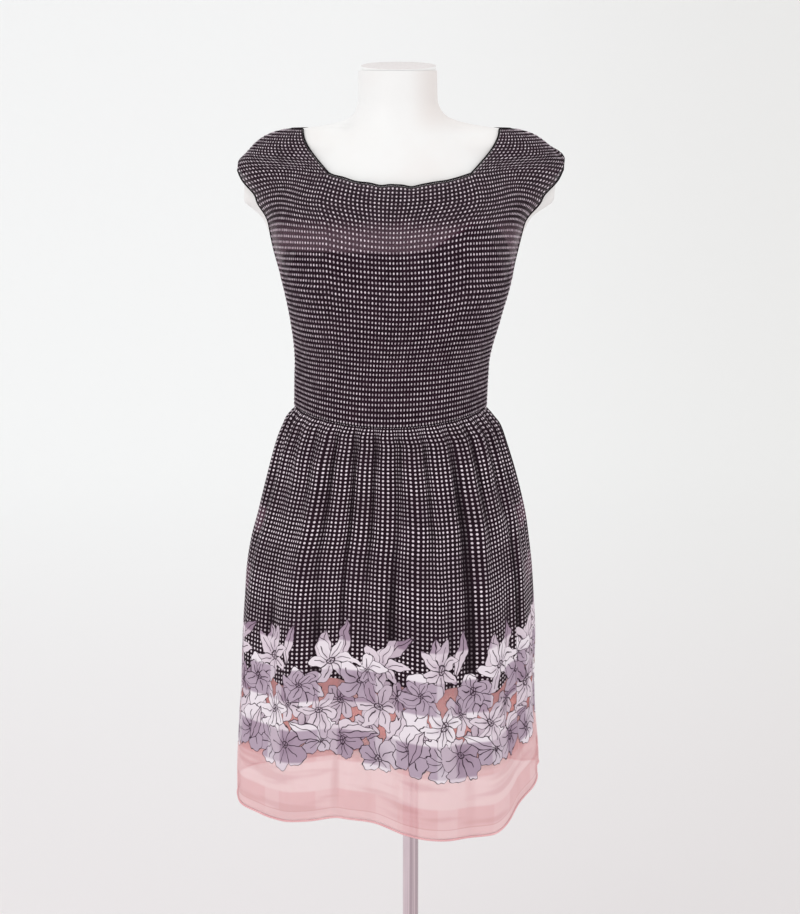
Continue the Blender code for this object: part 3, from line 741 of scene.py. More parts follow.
def bodice_place(share, row, back):
    """The angle and height of points of a bodice panel. Rows arch over the sleeve, and the neck's edge is waved."""
    neck = NECK_BACK if back else NECK_FRONT
    side = np.minimum(1.0, np.abs(share) / STRAP_FROM)
    top = neck.middle + (neck.corner - neck.middle) * side ** 1.7
    level = row_level(row, neck)
    in_body = row <= BODY_ROWS
    height = np.where(in_body, WAIST + (top - WAIST) * (level - WAIST) / (neck.corner - WAIST), level)
    wander = np.sin(5 * share + 0.05 * row) + 0.7 * np.sin(11 * share - 0.07 * row + 2.0)
    height = height + ROW_WANDER * wander * np.sin(np.pi * np.clip(row / BODY_ROWS, 0.0, 1.0))
    wave = np.cos(NECK_WAVE_COUNT * np.pi * share / STRAP_FROM + 0.6) + 0.8 * np.cos(23 * share + 1.0)
    near = np.clip(1 - (BODY_ROWS - row) / NECK_WAVE_ROWS, 0.0, 1.0) * in_body
    height = height + neck.wave * wave * near ** 2 * (1 - side ** 2)
    across = np.clip((np.abs(share) - STRAP_FROM) / (1 - STRAP_FROM), 0.0, 1.0)
    arched = np.clip((level - SLEEVE_ARC_FROM) / (NECK_POINT - SLEEVE_ARC_FROM), 0.0, 1.0)
    height = height + SLEEVE_ARC * np.sin(np.pi * arched) ** 2 * np.sin(np.pi * across ** 1.5)
    climb = np.clip((row - BODY_ROWS) / STRAP_ROWS, 0.0, 1.0)
    inner = neck_turn(level, neck.corner_x + (neck.point_x - neck.corner_x) * np.sin(climb * np.pi / 2), back)
    strap_turn = np.copysign(inner + (armhole_turn(level, back) - inner) * across, share)
    angle = round_body(np.where(in_body, column_turn(share, level, back), strap_turn), back)
    return angle, height + seam_shift(angle, height)


def bodice_point(share, row, back, lift):
    """Points of a bodice panel, lifted off the inside of its wall."""
    angle, height = bodice_place(share, row, back)
    settle = np.clip((height - SETTLE_FROM) / SETTLE_RUN, 0.0, 1.0)
    distance = BODICE_INSIDE + (BODICE_INSIDE_AT_SHOULDER - BODICE_INSIDE) * settle + lift
    points = form_point(angle, height) + outward(form_point, angle, height) * distance[..., None]
    flare = np.exp(-((height - SLEEVE_TIP) / SLEEVE_FLARE_RUN) ** 2) * np.abs(share) ** 24
    points[..., 0] += SLEEVE_FLARE * flare * np.where(share > 0, 1.0, -0.3)
    points[..., 2] += SLEEVE_FLARE * flare * (share > 0)
    return part_at_seam(points, back)


def puffs(column, row, seed):
    """How far the shirring puffs the cloth out, with each dot on a crest and each puff of its own size."""
    sizes = np.random.default_rng(seed).uniform(0.6, 1.35, (200, 200))
    size = sizes[(row // POINTS_PER_DOT).astype(int), (column // POINTS_PER_DOT).astype(int)]
    across = np.cos(math.tau * (column - 1) / POINTS_PER_DOT)
    up = np.cos(math.tau * (row - 1) / POINTS_PER_DOT)
    return size * (PUFF_ACROSS * across + PUFF_UP * up)


def ruffle(share):
    """How far the neck's edge stands out and in."""
    return RUFFLE_DEPTH * np.sin(60 * share + 2 * np.sin(11 * share))


def wrap(value, half):
    return maths("WRAP", value, half, -half)


def random_at(*parts):
    """A random number and a random colour that belong to a cell."""
    key = add_node(parts[0].tree, "ShaderNodeCombineXYZ", dict(enumerate(parts)))
    drawn = add_node(key.id_data, "ShaderNodeTexWhiteNoise", {"Vector": Value(key.outputs[0])}, noise_dimensions="3D")
    return Value(drawn.outputs["Value"]), Value(drawn.outputs["Color"])


# Printed dots on a square grid, a cell for each dot: a mask, and a number of its own for each dot.
dots, given, put_out = new_group("printed_dots", ("half_width", "half_height", "softness"), ("Mask", "Chance"))
place, half_width, half_height, softness = given
x, y, _ = split(place)
inside_x, inside_y = wrap(x, 0.5), wrap(y, 0.5)
frayed = noise(place, 5.0) * 0.5 + 0.75
wide, tall = inside_x / half_width, inside_y / half_height
reach = maths("SQRT", wide * wide + tall * tall) * frayed
feed(put_out, {"Mask": ramp(reach, 1.0 - softness, softness + 1.0, 1.0, 0.0),
               "Chance": random_at(x - inside_x, y - inside_y)[0]})


def flat_place(shader):
    """Where a point lies on the flat cloth."""
    return Value(add_node(shader.id_data, "ShaderNodeUVMap", uv_map="UVMap").outputs[0])


def painted(shader, name):
    """What is written on a piece's points under a name."""
    return Value(add_node(shader.id_data, "ShaderNodeAttribute", attribute_name=name).outputs["Fac"])


SHEER_DARK = colour(34, 16, 28)
SHEER_LIGHT = colour(50, 31, 43)
DOT_WHITE = colour(245, 231, 240)
DOT_GREY = colour(150, 134, 143)
SHEER_LIT_BY_FORM = colour(80, 50, 66)
SHEER_COVER = 0.71
BARE_COVER = 0.58
DOT_COVER = 0.85
BARE_TOP = (1.292, 1.312)
BARE_FADE = 0.003
bodice_look, shader, ground = crepe_material("sheer_dotted_crepe", SHEER_DARK, SHEER_LIGHT, Sheen_Weight=0.02,
                                             Specular_IOR_Level=0.1)
print_dots = use_group(dots, flat_place(shader), half_width=0.220, half_height=0.235, softness=0.35)
bare = painted(shader, "bare")
# Painted light: over the bare white form the ground is painted lighter, standing in for the form's light showing
# through. The cloth is also left more open there.
ground = blend(bare, ground, SHEER_LIT_BY_FORM)
dot_tone = blend(ramp(print_dots["Chance"], 0.0, 1.0, 0.0, 0.7), DOT_WHITE, DOT_GREY)
cover = ramp(bare, 0.0, 1.0, SHEER_COVER, BARE_COVER)
feed(shader, {"Base Color": blend(print_dots["Mask"], ground, dot_tone),
              "Alpha": maths("MAXIMUM", cover, print_dots["Mask"] * DOT_COVER)})

for side, back in PANELS:
    piece, column, row = new_grid("shirred_bodice_" + side, BODICE_COLUMNS, BODY_ROWS + STRAP_ROWS)
    share = 2 * column / BODICE_COLUMNS - 1
    at_neck = np.clip(1 - np.abs(BODY_ROWS - row) / RUFFLE_ROWS, 0.0, 1.0) * (np.abs(share) < STRAP_FROM)
    lift = BODICE_THICKNESS + puffs(column, row, 11 if back else 5) + ruffle(share) * at_neck
    move_points(piece, bodice_point(share, row, back, lift))
    lay_uv(piece, (column - 1) / POINTS_PER_DOT, (row - 1) / POINTS_PER_DOT)
    angle, height = bodice_place(share, row, back)
    over_form = np.clip((height - read_table(LINING_TOP, signed_degrees(angle))[0]) / BARE_FADE, 0.0, 1.0)
    over_form *= 1 - np.clip((height - BARE_TOP[0]) / (BARE_TOP[1] - BARE_TOP[0]), 0.0, 1.0)
    piece.data.attributes.new("bare", "FLOAT", "POINT").data.foreach_set("value", over_form)
    in_opening = (row > BODY_ROWS) & (np.abs(share) < STRAP_FROM - 0.5 / BODICE_COLUMNS)
    with editing():
        bpy.ops.mesh.select_mode(type="VERT")
        bpy.ops.mesh.select_all(action="DESELECT")
    piece.data.vertices.foreach_set("select", in_opening)
    with editing():
        bpy.ops.mesh.delete(type="VERT")
    give_thickness(piece, BODICE_THICKNESS, back)
    finish_piece(piece, bodice_look, "bodice_cloth", "bodice_" + side)


# Narrow rolled edges in black thread finish the neck and the armholes. The stitches go over the roll closely, and the
# neck's edge stretches into small waves.
ROLL_SIDES = 8
STITCH = 0.0022
STATIONS_PER_STITCH = 3
STITCH_SWELL = 0.14
EDGE_ROLL_RADIUS = 0.0011
ROLL_GAP = 0.0003
ROLL_SMOOTH_BELOW = math.radians(60)
END_OFF_SIDE = 0.2


def respace(values, along, count):
    at = np.linspace(0.0, along[-1], count)
    return np.stack([np.interp(at, along, values[:, axis]) for axis in range(3)], axis=-1)


def unit(vectors):
    return vectors / np.maximum(np.linalg.norm(vectors, axis=-1, keepdims=True), 1e-9)


def rolled_edge(name, outer, inner, heart, radius, look, node_slot, *replaced):
    """A stitched tube just past a panel's cut edge, from points along the edge on the wall's two faces. The heart is
    a point on the open side of the edge."""
    middle = (outer + inner) / 2
    along = lengths_along(middle)
    count = int(along[-1] / STITCH * STATIONS_PER_STITCH)
    normal = unit(respace(outer - inner, along, count))
    middle = respace(middle, along, count)
    away = unit(np.cross(unit(np.gradient(middle, axis=0)), normal))
    away *= np.where(np.sum(away * (heart - middle), axis=1) < 0, -1.0, 1.0)[:, None]
    centre = middle + away * (radius + ROLL_GAP)
    made, column, row = new_grid(name, ROLL_SIDES, count - 1)
    turn = math.tau * column / ROLL_SIDES
    station = row.astype(int)
    swell = 1 + STITCH_SWELL * np.cos(math.tau * station / STATIONS_PER_STITCH)
    ring = away[station] * np.cos(turn)[:, None] + normal[station] * np.sin(turn)[:, None]
    move_points(made, centre[station] + ring * (radius * swell)[:, None])
    lay_uv(made, turn, station * STITCH / STATIONS_PER_STITCH)
    close_shell(ROLL_SMOOTH_BELOW)
    finish_piece(made, look, node_slot, *replaced)
    return made


def keep_ends(outer, inner, radius, back):
    """Bring the two ends of an edge close to the side plane, so that the front's and the back's rolls meet there."""
    for end in (0, -1):
        outer[end, 1] = inner[end, 1] = (radius if back else -radius) * END_OFF_SIDE


BLACK_THREAD = colour(12, 7, 11)
BLACK_THREAD_LIGHT = colour(36, 27, 33)
thread_look, shader = new_material("black_edge_thread", Specular_IOR_Level=0.15)
wave_values = {"Vector": object_place(shader), "Scale": 900.0, "Distortion": 3.0}
strands = Value(add_node(shader.id_data, "ShaderNodeTexWave", wave_values).outputs["Fac"])
feed(shader, {"Base Color": blend(ramp(strands, 0.3, 0.9), BLACK_THREAD, BLACK_THREAD_LIGHT),
              "Roughness": ramp(strands, 0.0, 1.0, 0.55, 0.8)})
finish_normal(shader, strands, 0.4, 0.0002)

throat = np.array([0.0, 0.0, NECK_TOP])
edgings = {"front": [], "back": []}
strap_column = round((1 - STRAP_FROM) / 2 * BODICE_COLUMNS)
far_column = BODICE_COLUMNS - strap_column
top_row = BODY_ROWS + STRAP_ROWS
for side, back in PANELS:
    places = [(top_row, column) for column in range(0, strap_column)]
    places += [(row, strap_column) for row in range(top_row, BODY_ROWS, -1)]
    places += [(BODY_ROWS, column) for column in range(strap_column, far_column + 1)]
    places += [(row, far_column) for row in range(BODY_ROWS + 1, top_row + 1)]
    places += [(top_row, column) for column in range(far_column + 1, BODICE_COLUMNS + 1)]
    row, column = np.array(places, dtype=float).T
    share = 2 * column / BODICE_COLUMNS - 1
    lift = ruffle(share) * (row == BODY_ROWS)
    outer = bodice_point(share, row, back, lift + BODICE_THICKNESS)
    inner = bodice_point(share, row, back, lift)
    keep_ends(outer, inner, EDGE_ROLL_RADIUS, back)
    edgings[side].append(rolled_edge("neck_roll_" + side, outer, inner, throat, EDGE_ROLL_RADIUS, thread_look,
                                     "edging", "neck_edge_" + side))

for hand, share_at in (("right", -1.0), ("left", 1.0)):
    outer, inner = [], []
    for _, back in PANELS:
        rows = np.arange(0.0, top_row + 1)
        _, heights = bodice_place(np.full_like(rows, share_at), rows, back)
        rows = rows[(heights > UNDERARM + 0.001) & (heights < SLEEVE_TIP - 0.0005)]
        rows = rows[::-1] if back else rows
        shares = np.full_like(rows, share_at)
        outer.append(bodice_point(shares, rows, back, np.full_like(rows, BODICE_THICKNESS)))
        inner.append(bodice_point(shares, rows, back, np.zeros_like(rows)))
    heart = np.vstack(outer).mean(axis=0)
    outer, inner = (np.vstack(lines + [lines[0][:1]]) for lines in (outer, inner))
    edgings["front"].append(rolled_edge("armhole_roll_" + hand, outer, inner, heart, EDGE_ROLL_RADIUS, thread_look,
                                        "edging", "armhole_edge_" + hand))


# The skirt is a front and a back width of light printed cloth, gathered into the waist seam. It falls in large soft
# folds with finer creases between them, and its foot is a sheer pink band under a border of flowers.
SKIRT_THICKNESS = 0.0013
SKIRT_COLUMNS = 290
SKIRT_ROWS = 160
SKIRT_FLAT = (0.615, 0.560)
HOLLOW_DEPTH = ((0.75, 1.00), (0.0020, 0.0036))
HOLLOW_FROM = 0.45
HOLLOW_BESIDE = (-4.5, -3.0, -1.5, 1.5, 3.0, 4.5)

# The skirt's ovals, in the columns of TORSO
SKIRT = (
    (1.034, -0.0280, 0.1380, 0.099, 0.097, 2.2),
    (1.022, -0.0262, 0.1455, 0.108, 0.104, 2.2),
    (0.999, -0.0265, 0.1545, 0.119, 0.114, 2.2),
    (0.955, -0.0260, 0.1690, 0.132, 0.127, 2.1),
    (0.910, -0.0265, 0.1815, 0.141, 0.137, 2.1),
    (0.865, -0.0295, 0.1920, 0.148, 0.144, 2.1),
    (0.819, -0.0310, 0.1985, 0.152, 0.149, 2.1),
    (0.727, -0.0325, 0.2035, 0.155, 0.153, 2.1),
    (0.634, -0.0340, 0.2065, 0.158, 0.156, 2.1),
    (0.540, -0.0330, 0.2125, 0.162, 0.160, 2.1),
    (0.480, -0.0335, 0.2125, 0.162, 0.160, 2.1),
)
# The gathers, and the small tucks of the seam itself: height, depths of both, and how closely the gathers crowd
GATHERS = 28
TUCKS = 92
GATHER_DEPTH = (
    (1.048, 0.0004, 0.0003, 0.20), (1.040, 0.0016, 0.0009, 0.45), (1.030, 0.0026, 0.0011, 0.50),
    (0.995, 0.0040, 0.0007, 0.50), (0.930, 0.0034, 0.0002, 0.40), (0.860, 0.0020, 0.0, 0.25),
    (0.780, 0.0010, 0.0, 0.10), (0.480, 0.0005, 0.0, 0.0),
)
# The large folds: degrees round the body, spread in degrees, depth and top
FOLDS = (
    (-66, 13, 0.010, 0.98), (-36, 11, 0.012, 1.00), (-14, 8, 0.008, 0.96),
    (16, 12, 0.012, 1.00), (44, 10, 0.010, 0.98), (72, 9, 0.007, 0.95),
    (101, 12, 0.009, 0.97), (133, 13, 0.012, 1.00), (160, 10, 0.009, 0.96),
    (-171, 13, 0.011, 0.99), (-143, 12, 0.010, 0.97), (-108, 12, 0.011, 0.98),
)
FOLD_RUN = 0.26
FOLD_MEAN = 0.0045
# Finer creases: degrees at the top and the foot, top, foot, spread in degrees, and depth, which is a ridge's where it
# is above nothing and a trough's where it is below
CREASES = (
    (-74, -77, 0.99, 0.66, 3.0, -0.0030), (-58, -55, 1.01, 0.72, 2.4, 0.0022),
    (-49, -51, 1.00, 0.58, 3.2, -0.0036), (-42, -44, 0.93, 0.70, 2.0, 0.0018),
    (-26, -27, 1.01, 0.60, 3.0, -0.0036), (-20, -20, 0.96, 0.62, 2.1, 0.0024),
    (-16, -18, 1.01, 0.53, 2.4, -0.0028), (-7, -5, 0.99, 0.74, 2.0, 0.0020),
    (0, 2, 1.01, 0.68, 2.6, -0.0034), (8, 9, 0.97, 0.62, 2.2, -0.0028),
    (20, 19, 0.93, 0.58, 2.1, 0.0028), (25, 24, 1.00, 0.66, 2.4, -0.0032),
    (32, 34, 0.98, 0.60, 3.0, -0.0034), (40, 38, 0.95, 0.70, 2.0, 0.0020),
    (52, 51, 0.99, 0.64, 2.6, -0.0028), (57, 58, 0.90, 0.58, 1.9, 0.0042),
    (62, 62, 0.90, 0.60, 2.2, -0.0036), (80, 82, 0.97, 0.62, 3.0, -0.0030),
    (96, 98, 0.99, 0.70, 2.4, 0.0024), (109, 106, 1.00, 0.60, 3.0, -0.0034),
    (121, 123, 0.96, 0.62, 2.2, 0.0026), (140, 142, 1.01, 0.64, 2.6, -0.0036),
    (149, 148, 0.94, 0.58, 2.2, 0.0026), (168, 170, 1.00, 0.66, 2.6, -0.0032),
    (179, 177, 0.97, 0.60, 2.2, 0.0024), (-174, -175, 0.99, 0.70, 2.4, -0.0030),
    (-158, -156, 1.01, 0.58, 3.0, -0.0034), (-149, -151, 0.93, 0.64, 2.0, 0.0026),
    (-132, -130, 1.00, 0.62, 2.6, -0.0036), (-120, -121, 0.96, 0.70, 2.2, 0.0022),
    (-97, -99, 0.99, 0.60, 2.8, -0.0032),
)
CREASE_FADE = 0.07
# Degrees round the body, and the hem's height there
HEM = (
    (-180, 0.508), (-150, 0.502), (-120, 0.514), (-95, 0.517), (-70, 0.512),
    (-50, 0.507), (-30, 0.514), (-16, 0.524), (-5, 0.518), (7, 0.501),
    (24, 0.490), (40, 0.488), (54, 0.508), (66, 0.527), (90, 0.543),
    (120, 0.520), (150, 0.504), (180, 0.508),
)


def hump(angle, degrees, spread):
    """A soft hump across a fold, 1 at its middle."""
    away = np.remainder(angle - np.radians(degrees) + np.pi, math.tau) - np.pi
    return np.exp(-(away / np.radians(spread)) ** 2)


def skirt_surface(angle, height):
    """The skirt's outer face: an oval that widens downwards, waved by gathers, folds and creases."""
    centre, half_width, front, back, power = (float(value) for value in read_table(TORSO, WAIST))
    cloth = BODICE_INSIDE + BODICE_THICKNESS
    waist_row = (WAIST, centre, half_width + cloth, front + cloth, back + cloth, power)
    centre, half_width, front, back, power = read_table((waist_row,) + SKIRT, height)
    gather, tuck, crowding = read_table(GATHER_DEPTH, height)
    uneven = 0.9 * np.sin(3 * angle + 0.5) + 0.5 * np.sin(5 * angle + 2.0)
    phase = GATHERS * angle + uneven
    placed = angle + crowding * np.sin(phase) / GATHERS
    depth = np.where(np.cos(placed) > 0, front, back)
    turned = np.arctan2(half_width * np.sin(placed), depth * np.cos(placed))
    radius = oval_radius(turned, half_width, depth, power)
    radius = radius + gather * np.cos(phase)
    radius = radius + tuck * np.cos(TUCKS * angle + 1.2 * np.sin(7 * angle) + 0.8 * np.sin(4 * angle + 1.0))
    radius = radius - FOLD_MEAN * np.clip((WAIST - height) / FOLD_RUN, 0.0, 1.0)
    for degrees, spread, depth, top in FOLDS:
        grown = np.clip((top - height) / FOLD_RUN, 0.0, 1.0)
        radius = radius + depth * hump(angle, degrees, spread) * grown ** 2 * (3 - 2 * grown)
    for top_degrees, foot_degrees, top, foot, spread, depth in CREASES:
        down = np.clip((top - height) / (top - foot), 0.0, 1.0)
        shown = np.clip((top + CREASE_FADE / 2 - height) / CREASE_FADE, 0.0, 1.0)
        shown = shown * np.clip((height - foot + CREASE_FADE / 2) / CREASE_FADE, 0.0, 1.0)
        across = hump(angle, top_degrees + (foot_degrees - top_degrees) * down, spread * (1 + 0.5 * down))
        radius = radius + depth * across * shown ** 2 * (3 - 2 * shown)
    return np.stack((centre + radius * np.sin(turned), -radius * np.cos(turned), height + 0.0 * radius), axis=-1)


def even_turns(count):
    """Turns from one side seam to the other that share out the cloth's width evenly, half way down."""
    turn = np.linspace(-np.pi / 2, np.pi / 2, 800)
    _, half_width, front, back, _ = read_table(SKIRT, 0.70)
    across = half_width * np.sin(turn)
    along = (front + back) / 2 * np.cos(turn)
    length = lengths_along(np.stack((across, along), axis=-1))
    return np.interp(np.linspace(0.0, length[-1], count + 1), length, turn)


def skirt_place(column, row, back):
    """The angle and height of points of a skirt width."""
    turn = even_turns(SKIRT_COLUMNS)[column.astype(int)]
    angle = round_body(turn, back)
    hem = read_table(HEM, signed_degrees(angle))[0]
    top = WAIST - SEAM_GAP
    return angle, top + (hem - top) * (row / SKIRT_ROWS) ** 1.06


# A row of flowers or leaves has a cell for each, with its own place, turn, size and petals. Every third one is the
# same again, as in a printed repeat. Places are metres on the flat cloth.
REPEAT = 3
CELL = 0.25 / REPEAT
SWIRL = 0.45
LEAST_LENGTH = 0.66
MORE_LENGTH = 0.42
FRILLS = 17.0
FRILL_DEPTH = 0.03
VEIN = (0.24, 0.72)
HEART = 0.13
LEAF_BEND = -0.016
FlowerRow = namedtuple("FlowerRow", "height shift radius petals cut point seed")
LeafRow = namedtuple("LeafRow", "height shift length half_width lean seed")


def cell_of_row(place, height, shift, seed, drift, rise):
    """The kind of the cell that a place is in, its chances, and the place as seen from its flower's middle."""
    x, y, _ = split(place)
    along = (x + shift) / CELL
    cell = maths("FLOOR", along)
    kind = maths("ROUND", maths("WRAP", cell, REPEAT - 0.5, -0.5))
    chance, three = random_at(kind, seed, 0.5)
    right, up, spin = split(three)
    local_x = (along - cell + (right * drift - (1 + drift) / 2)) * CELL
    return kind, chance, spin, local_x, y - height + (up * rise - rise / 2)


def draw_shape(put_out, chance, inside, to_line, **more):
    """Fill a shape, and ink the lines in it and round it."""
    line = ramp(to_line, 0.0003, 0.0009, 1.0, 0.0) * ramp(inside, -0.0008, -0.0005)
    feed(put_out, {"Fill": ramp(inside, -0.0003, 0.0003), "Line": line, "Chance": chance, **more})


# Flowers seen open, with a vein to each petal and a small round heart
flowers, given, put_out = new_group("flower_row", FlowerRow._fields, ("Fill", "Line", "Shade", "Chance"))
place, height, shift, size, petals, cut, point, seed = given
kind, chance, spin, x, y = cell_of_row(place, height, shift, seed, 0.22, 0.026)
radius = maths("SQRT", x * x + y * y)
reach = radius / size
turn = reach * SWIRL + (spin * math.tau + maths("ARCTAN2", y, x))
petal = turn * (petals / math.tau)
aside = wrap(petal, 0.5)
number = maths("ROUND", maths("WRAP", petal - aside, petals - 0.5, -0.5))
length = (random_at(number, kind, seed)[0] * MORE_LENGTH + LEAST_LENGTH) * size
aside = abs(aside)
frill = maths("SINE", turn * FRILLS) * FRILL_DEPTH + 1.0
outline = length * (frill - maths("POWER", aside * 2.0, point) * cut)
inside = outline - radius
arc = radius * math.tau / petals
vein_ends = maths("MAXIMUM", outline * -VEIN[1] + radius, outline * VEIN[0] - radius)
to_vein = maths("MAXIMUM", aside * arc, vein_ends)
to_line = maths("MINIMUM", abs(inside), maths("MINIMUM", (0.5 - aside) * arc, to_vein))
to_line = maths("MINIMUM", to_line, abs(reach - HEART) * 0.03)
draw_shape(put_out, chance, inside, to_line, Shade=ramp(radius / outline, 0.05, 0.7))

# Long leaves that lean each its own way, with a midrib
leaves, given, put_out = new_group("leaf_row", LeafRow._fields, ("Fill", "Line", "Chance"))
place, height, shift, length, half_width, most_lean, seed = given
_, chance, spin, x, y = cell_of_row(place, height, shift, seed, 0.3, 0.02)
lean = (spin * 2.0 - 1.0) * most_lean
cosine, sine = maths("COSINE", lean), maths("SINE", lean)
share = (x * sine + y * cosine) / length + 0.5
share = maths("MINIMUM", maths("MAXIMUM", share, -0.4), 1.4)
aside = abs(x * cosine - y * sine + share * share * (lean * LEAF_BEND))
inside = maths("SINE", share * math.pi) * half_width - aside
draw_shape(put_out, chance, inside, maths("MINIMUM", abs(inside), aside))


def draw_row(group, place, row, below, light, dark, dim):
    """A row of flowers or leaves laid over the print below it."""
    drawn = use_group(group, place, **row._asdict())
    petals = blend(ramp(drawn["Chance"], 0.25, 0.75), light, dark)
    petals = blend(dim, petals, LILAC_DIM, "MULTIPLY")
    if "Shade" in drawn:
        petals = blend(0.55 - drawn["Shade"] * 0.55, petals, LILAC_DIM, "MULTIPLY")
    return blend(drawn["Line"], blend(drawn["Fill"], below, petals), INK), drawn["Fill"]


LEAF_ROWS_BEHIND = (
    LeafRow(0.238, 0.020, 0.062, 0.0090, 0.8, 3.0),
    LeafRow(0.228, 0.062, 0.056, 0.0110, 1.0, 8.0),
    LeafRow(0.140, 0.034, 0.066, 0.0120, 1.6, 13.0),
)
FLOWER_ROWS = (
    FlowerRow(0.168, 0.022, 0.033, 6.0, 0.42, 1.70, 12.0),
    FlowerRow(0.128, 0.068, 0.028, 5.0, 0.32, 2.10, 11.0),
    FlowerRow(0.214, 0.040, 0.040, 6.0, 0.62, 1.15, 2.0),
    FlowerRow(0.098, 0.055, 0.033, 5.0, 0.22, 2.60, 5.0),
    FlowerRow(0.184, 0.000, 0.039, 5.0, 0.45, 1.60, 1.0),
    FlowerRow(0.150, 0.048, 0.038, 6.0, 0.55, 1.30, 7.0),
    FlowerRow(0.108, 0.012, 0.036, 5.0, 0.28, 2.20, 4.0),
)
LEAF_ROW_BEFORE = LeafRow(0.128, 0.078, 0.052, 0.0090, 1.5, 6.0)
FLOWER_ROW_BEFORE = FlowerRow(0.196, 0.075, 0.029, 5.0, 0.50, 1.40, 9.0)

DOT_PITCH = (0.0061, 0.0059)
CHECK_PITCH = 0.084
CHECK_FROM = 0.143
PRINT_FOOT = 0.190
SKIRT_DARK = colour(25, 9, 19)
SKIRT_LIGHT = colour(38, 20, 32)
PETAL_WHITE = colour(241, 232, 239)
PETAL_PALE = colour(227, 213, 223)
PETAL_LILAC = colour(202, 184, 197)
LILAC_DIM = colour(196, 183, 196)
INK = colour(58, 42, 54)
SALMON = colour(222, 150, 146)
SALMON_DIM = colour(198, 148, 148)
PINK = colour(241, 189, 191)
PINK_LIGHT = colour(250, 213, 215)
PINK_DEEP = colour(219, 156, 158)
SHEER_PATCH_LIT_BEHIND = colour(98, 70, 84)
FOLD_PAINTED_SHADE = colour(16, 5, 12)
TURNED_HEM = 0.012
PINK_COVER = 0.55

# The cloth's woven check: bands that are denser, and look darker, both round the skirt and up it
skirt_look, shader, ground = crepe_material("bordered_skirt_crepe", SKIRT_DARK, SKIRT_LIGHT, Sheen_Weight=0.02,
                                            Specular_IOR_Level=0.1)
cloth_place = flat_place(shader)
across, up, _ = split(cloth_place)
fold_hollow_shade = painted(shader, "fold_hollow_shade")
off_band = abs(wrap(up - CHECK_FROM, CHECK_PITCH / 2))
off_stripe = abs(wrap(across, CHECK_PITCH / 2))
dense = ramp(off_band, 0.018, 0.022) * (ramp(off_stripe, 0.013, 0.017) * 0.45 + 0.55)

# The dark ground with its dots. Where the cloth folds in, the dots crowd and the cloth lies double, and painted shade
# also dims the dots and darkens the ground there. Sheer squares at the side seams are painted lighter, as if lit from
# behind.
dot_place = maths("MULTIPLY", cloth_place, (1 / DOT_PITCH[0], 1 / DOT_PITCH[1], 1.0), kind="ShaderNodeVectorMath")
print_dots = use_group(dots, dot_place, half_width=0.225, half_height=0.255, softness=0.3)
# Painted light: near the side seams the sheer squares of the check are painted lighter, as if lit from behind.
at_side = abs(wrap(across - SKIRT_FLAT[0] / 2, SKIRT_FLAT[0] / 2))
sheer_squares_lit_behind = ramp(at_side, 0.025, 0.075, 1.0, 0.0) * (ramp(off_band, 0.012, 0.022, 0.8, 0.0)
                                                * ramp(up, 0.40, 0.46, 1.0, 0.0))
ground = blend(sheer_squares_lit_behind, ground, SHEER_PATCH_LIT_BEHIND)
# The dots dim at random and in the denser check bands, and with painted shade in the hollows of the folds.
dot_dim = print_dots["Chance"] * 0.38 + (dense * 0.35 + fold_hollow_shade * 0.6)
dot_tone = blend(maths("MINIMUM", dot_dim, 1.0), DOT_WHITE, DOT_GREY)
dark_print = blend(print_dots["Mask"], ground, dot_tone)
# Painted shade darkens the print in the hollows of the folds.
dark_print = blend(fold_hollow_shade * 0.7, dark_print, FOLD_PAINTED_SHADE)

# The pink foot, with faint waves where the cloth lies double or creased, and painted shade in the hollows of the folds
waves = noise(maths("MULTIPLY", cloth_place, (7.0, 42.0, 1.0), kind="ShaderNodeVectorMath"), 1.0, 2.0)
pink = blend(dense, PINK_LIGHT, PINK)
for share, tone in ((ramp(waves, 0.48, 0.62, 0.0, 0.45), PINK_DEEP),
                    (fold_hollow_shade * 0.5, PINK_DEEP),
                    (ramp(up, TURNED_HEM - 0.0005, TURNED_HEM + 0.0005, 0.4, 0.0), PINK_LIGHT),
                    (ramp(abs(up - TURNED_HEM), 0.0004, 0.0011, 0.5, 0.0), PINK_DEEP),
                    (ramp(up, 0.080, 0.100), blend(dense, SALMON, SALMON_DIM))):
    pink = blend(share, pink, tone)

# The border: pointed and round flowers with leaves between, over the line where the dark print ends
bent = add_node(shader.id_data, "ShaderNodeTexNoise", {"Vector": cloth_place, "Scale": 34.0, "Detail": 2.0})
bent_by = maths("SUBTRACT", Value(bent.outputs["Color"]), (0.5, 0.5, 0.5), kind="ShaderNodeVectorMath")
drawn_place = maths("MULTIPLY_ADD", bent_by, (0.021, 0.021, 0.0), cloth_place, kind="ShaderNodeVectorMath")
print_foot = noise(cloth_place, 15.0, 1.0) * 0.06 + (PRINT_FOOT - 0.03)
filled = ramp(up - print_foot, -0.0005, 0.0005)
printed = blend(filled, pink, dark_print)
for group, rows, light, dark in (
        (leaves, LEAF_ROWS_BEHIND, PETAL_PALE, PETAL_LILAC),
        (flowers, FLOWER_ROWS[:2], PETAL_PALE, PETAL_LILAC),
        (flowers, FLOWER_ROWS[2:], PETAL_WHITE, PETAL_PALE),
        (leaves, (LEAF_ROW_BEFORE,), PETAL_WHITE, PETAL_PALE),
        (flowers, (FLOWER_ROW_BEFORE,), PETAL_WHITE, PETAL_WHITE)):
    for row in rows:
        printed, row_fill = draw_row(group, drawn_place, row, printed, light, dark, dense)
        filled = maths("MAXIMUM", filled, row_fill)
feed(shader, {"Base Color": printed, "Alpha": ramp(filled, 0.0, 1.0, PINK_COVER, 1.0)})


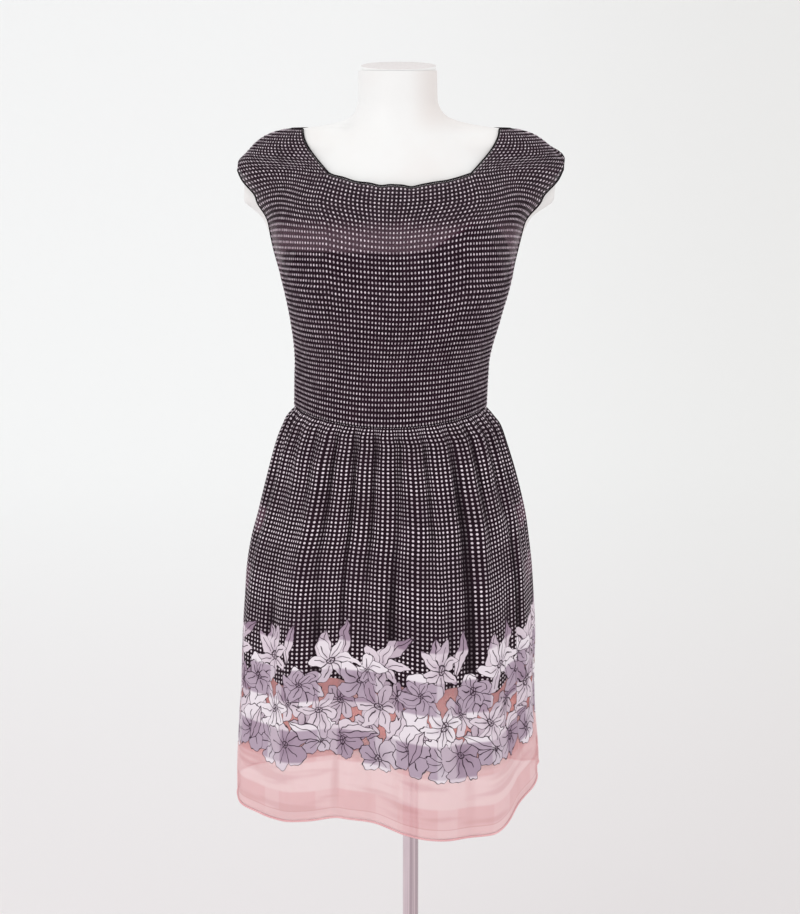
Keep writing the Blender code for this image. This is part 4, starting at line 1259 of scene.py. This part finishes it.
def hollows(angle, height):
    """How far a fold lies in from the cloth beside it, from 0 on a crest to 1 in a deep trough."""
    here = np.linalg.norm(skirt_surface(angle, height)[..., :2], axis=-1)
    around = [skirt_surface(angle + math.radians(degrees), height) for degrees in HOLLOW_BESIDE]
    beside = np.mean([np.linalg.norm(points[..., :2], axis=-1) for points in around], axis=0)
    return np.clip(((beside - here) / np.interp(height, *HOLLOW_DEPTH) - HOLLOW_FROM) / (1 - HOLLOW_FROM), 0.0, 1.0)


for side, back in PANELS:
    piece, column, row = new_grid("gathered_skirt_" + side, SKIRT_COLUMNS, SKIRT_ROWS)
    angle, height = skirt_place(column, SKIRT_ROWS - row, back)
    points = part_at_seam(skirt_surface(angle, height), back)
    points[:, 2] += seam_shift(angle, height)
    points[(column == 0) | (column == SKIRT_COLUMNS), 1] = SEAM_GAP / 2 if back else -SEAM_GAP / 2
    move_points(piece, points)
    across = (column / SKIRT_COLUMNS - 0.5) * SKIRT_FLAT[0] * (-1 if back else 1) + (SKIRT_FLAT[0] if back else 0.0)
    lay_uv(piece, across, row / SKIRT_ROWS * SKIRT_FLAT[1])
    # The depth of each fold's hollow, written on the points as the mask for the painted shade in it.
    fold_shade_points = piece.data.attributes.new("fold_hollow_shade", "FLOAT", "POINT")
    fold_shade_points.data.foreach_set("value", hollows(angle, height))
    give_thickness(piece, SKIRT_THICKNESS, back)
    finish_piece(piece, skirt_look, "skirt_cloth", "skirt_" + side)

# The hem is turned up from the band's own cloth and rolled narrow.
HEM_ROLL_RADIUS = 0.0014
HEM_PINK = colour(230, 172, 176)
HEM_PINK_LIGHT = colour(244, 198, 201)
BELOW_ALL = np.array([0.0, 0.0, -5.0])
hem_look, _, _ = crepe_material("pink_rolled_hem", HEM_PINK, HEM_PINK_LIGHT, Specular_IOR_Level=0.15)
for side, back in PANELS:
    column = np.arange(SKIRT_COLUMNS + 1.0)
    angle, height = skirt_place(column, np.full_like(column, SKIRT_ROWS), back)
    outer = skirt_surface(angle, height)
    inner = outer - unit(outward(skirt_surface, angle, height) * (1.0, 1.0, 0.0)) * SKIRT_THICKNESS
    keep_ends(outer, inner, HEM_ROLL_RADIUS, back)
    hem_roll = rolled_edge("hem_roll_" + side, outer, inner, BELOW_ALL, HEM_ROLL_RADIUS, hem_look, "skirt_cloth")
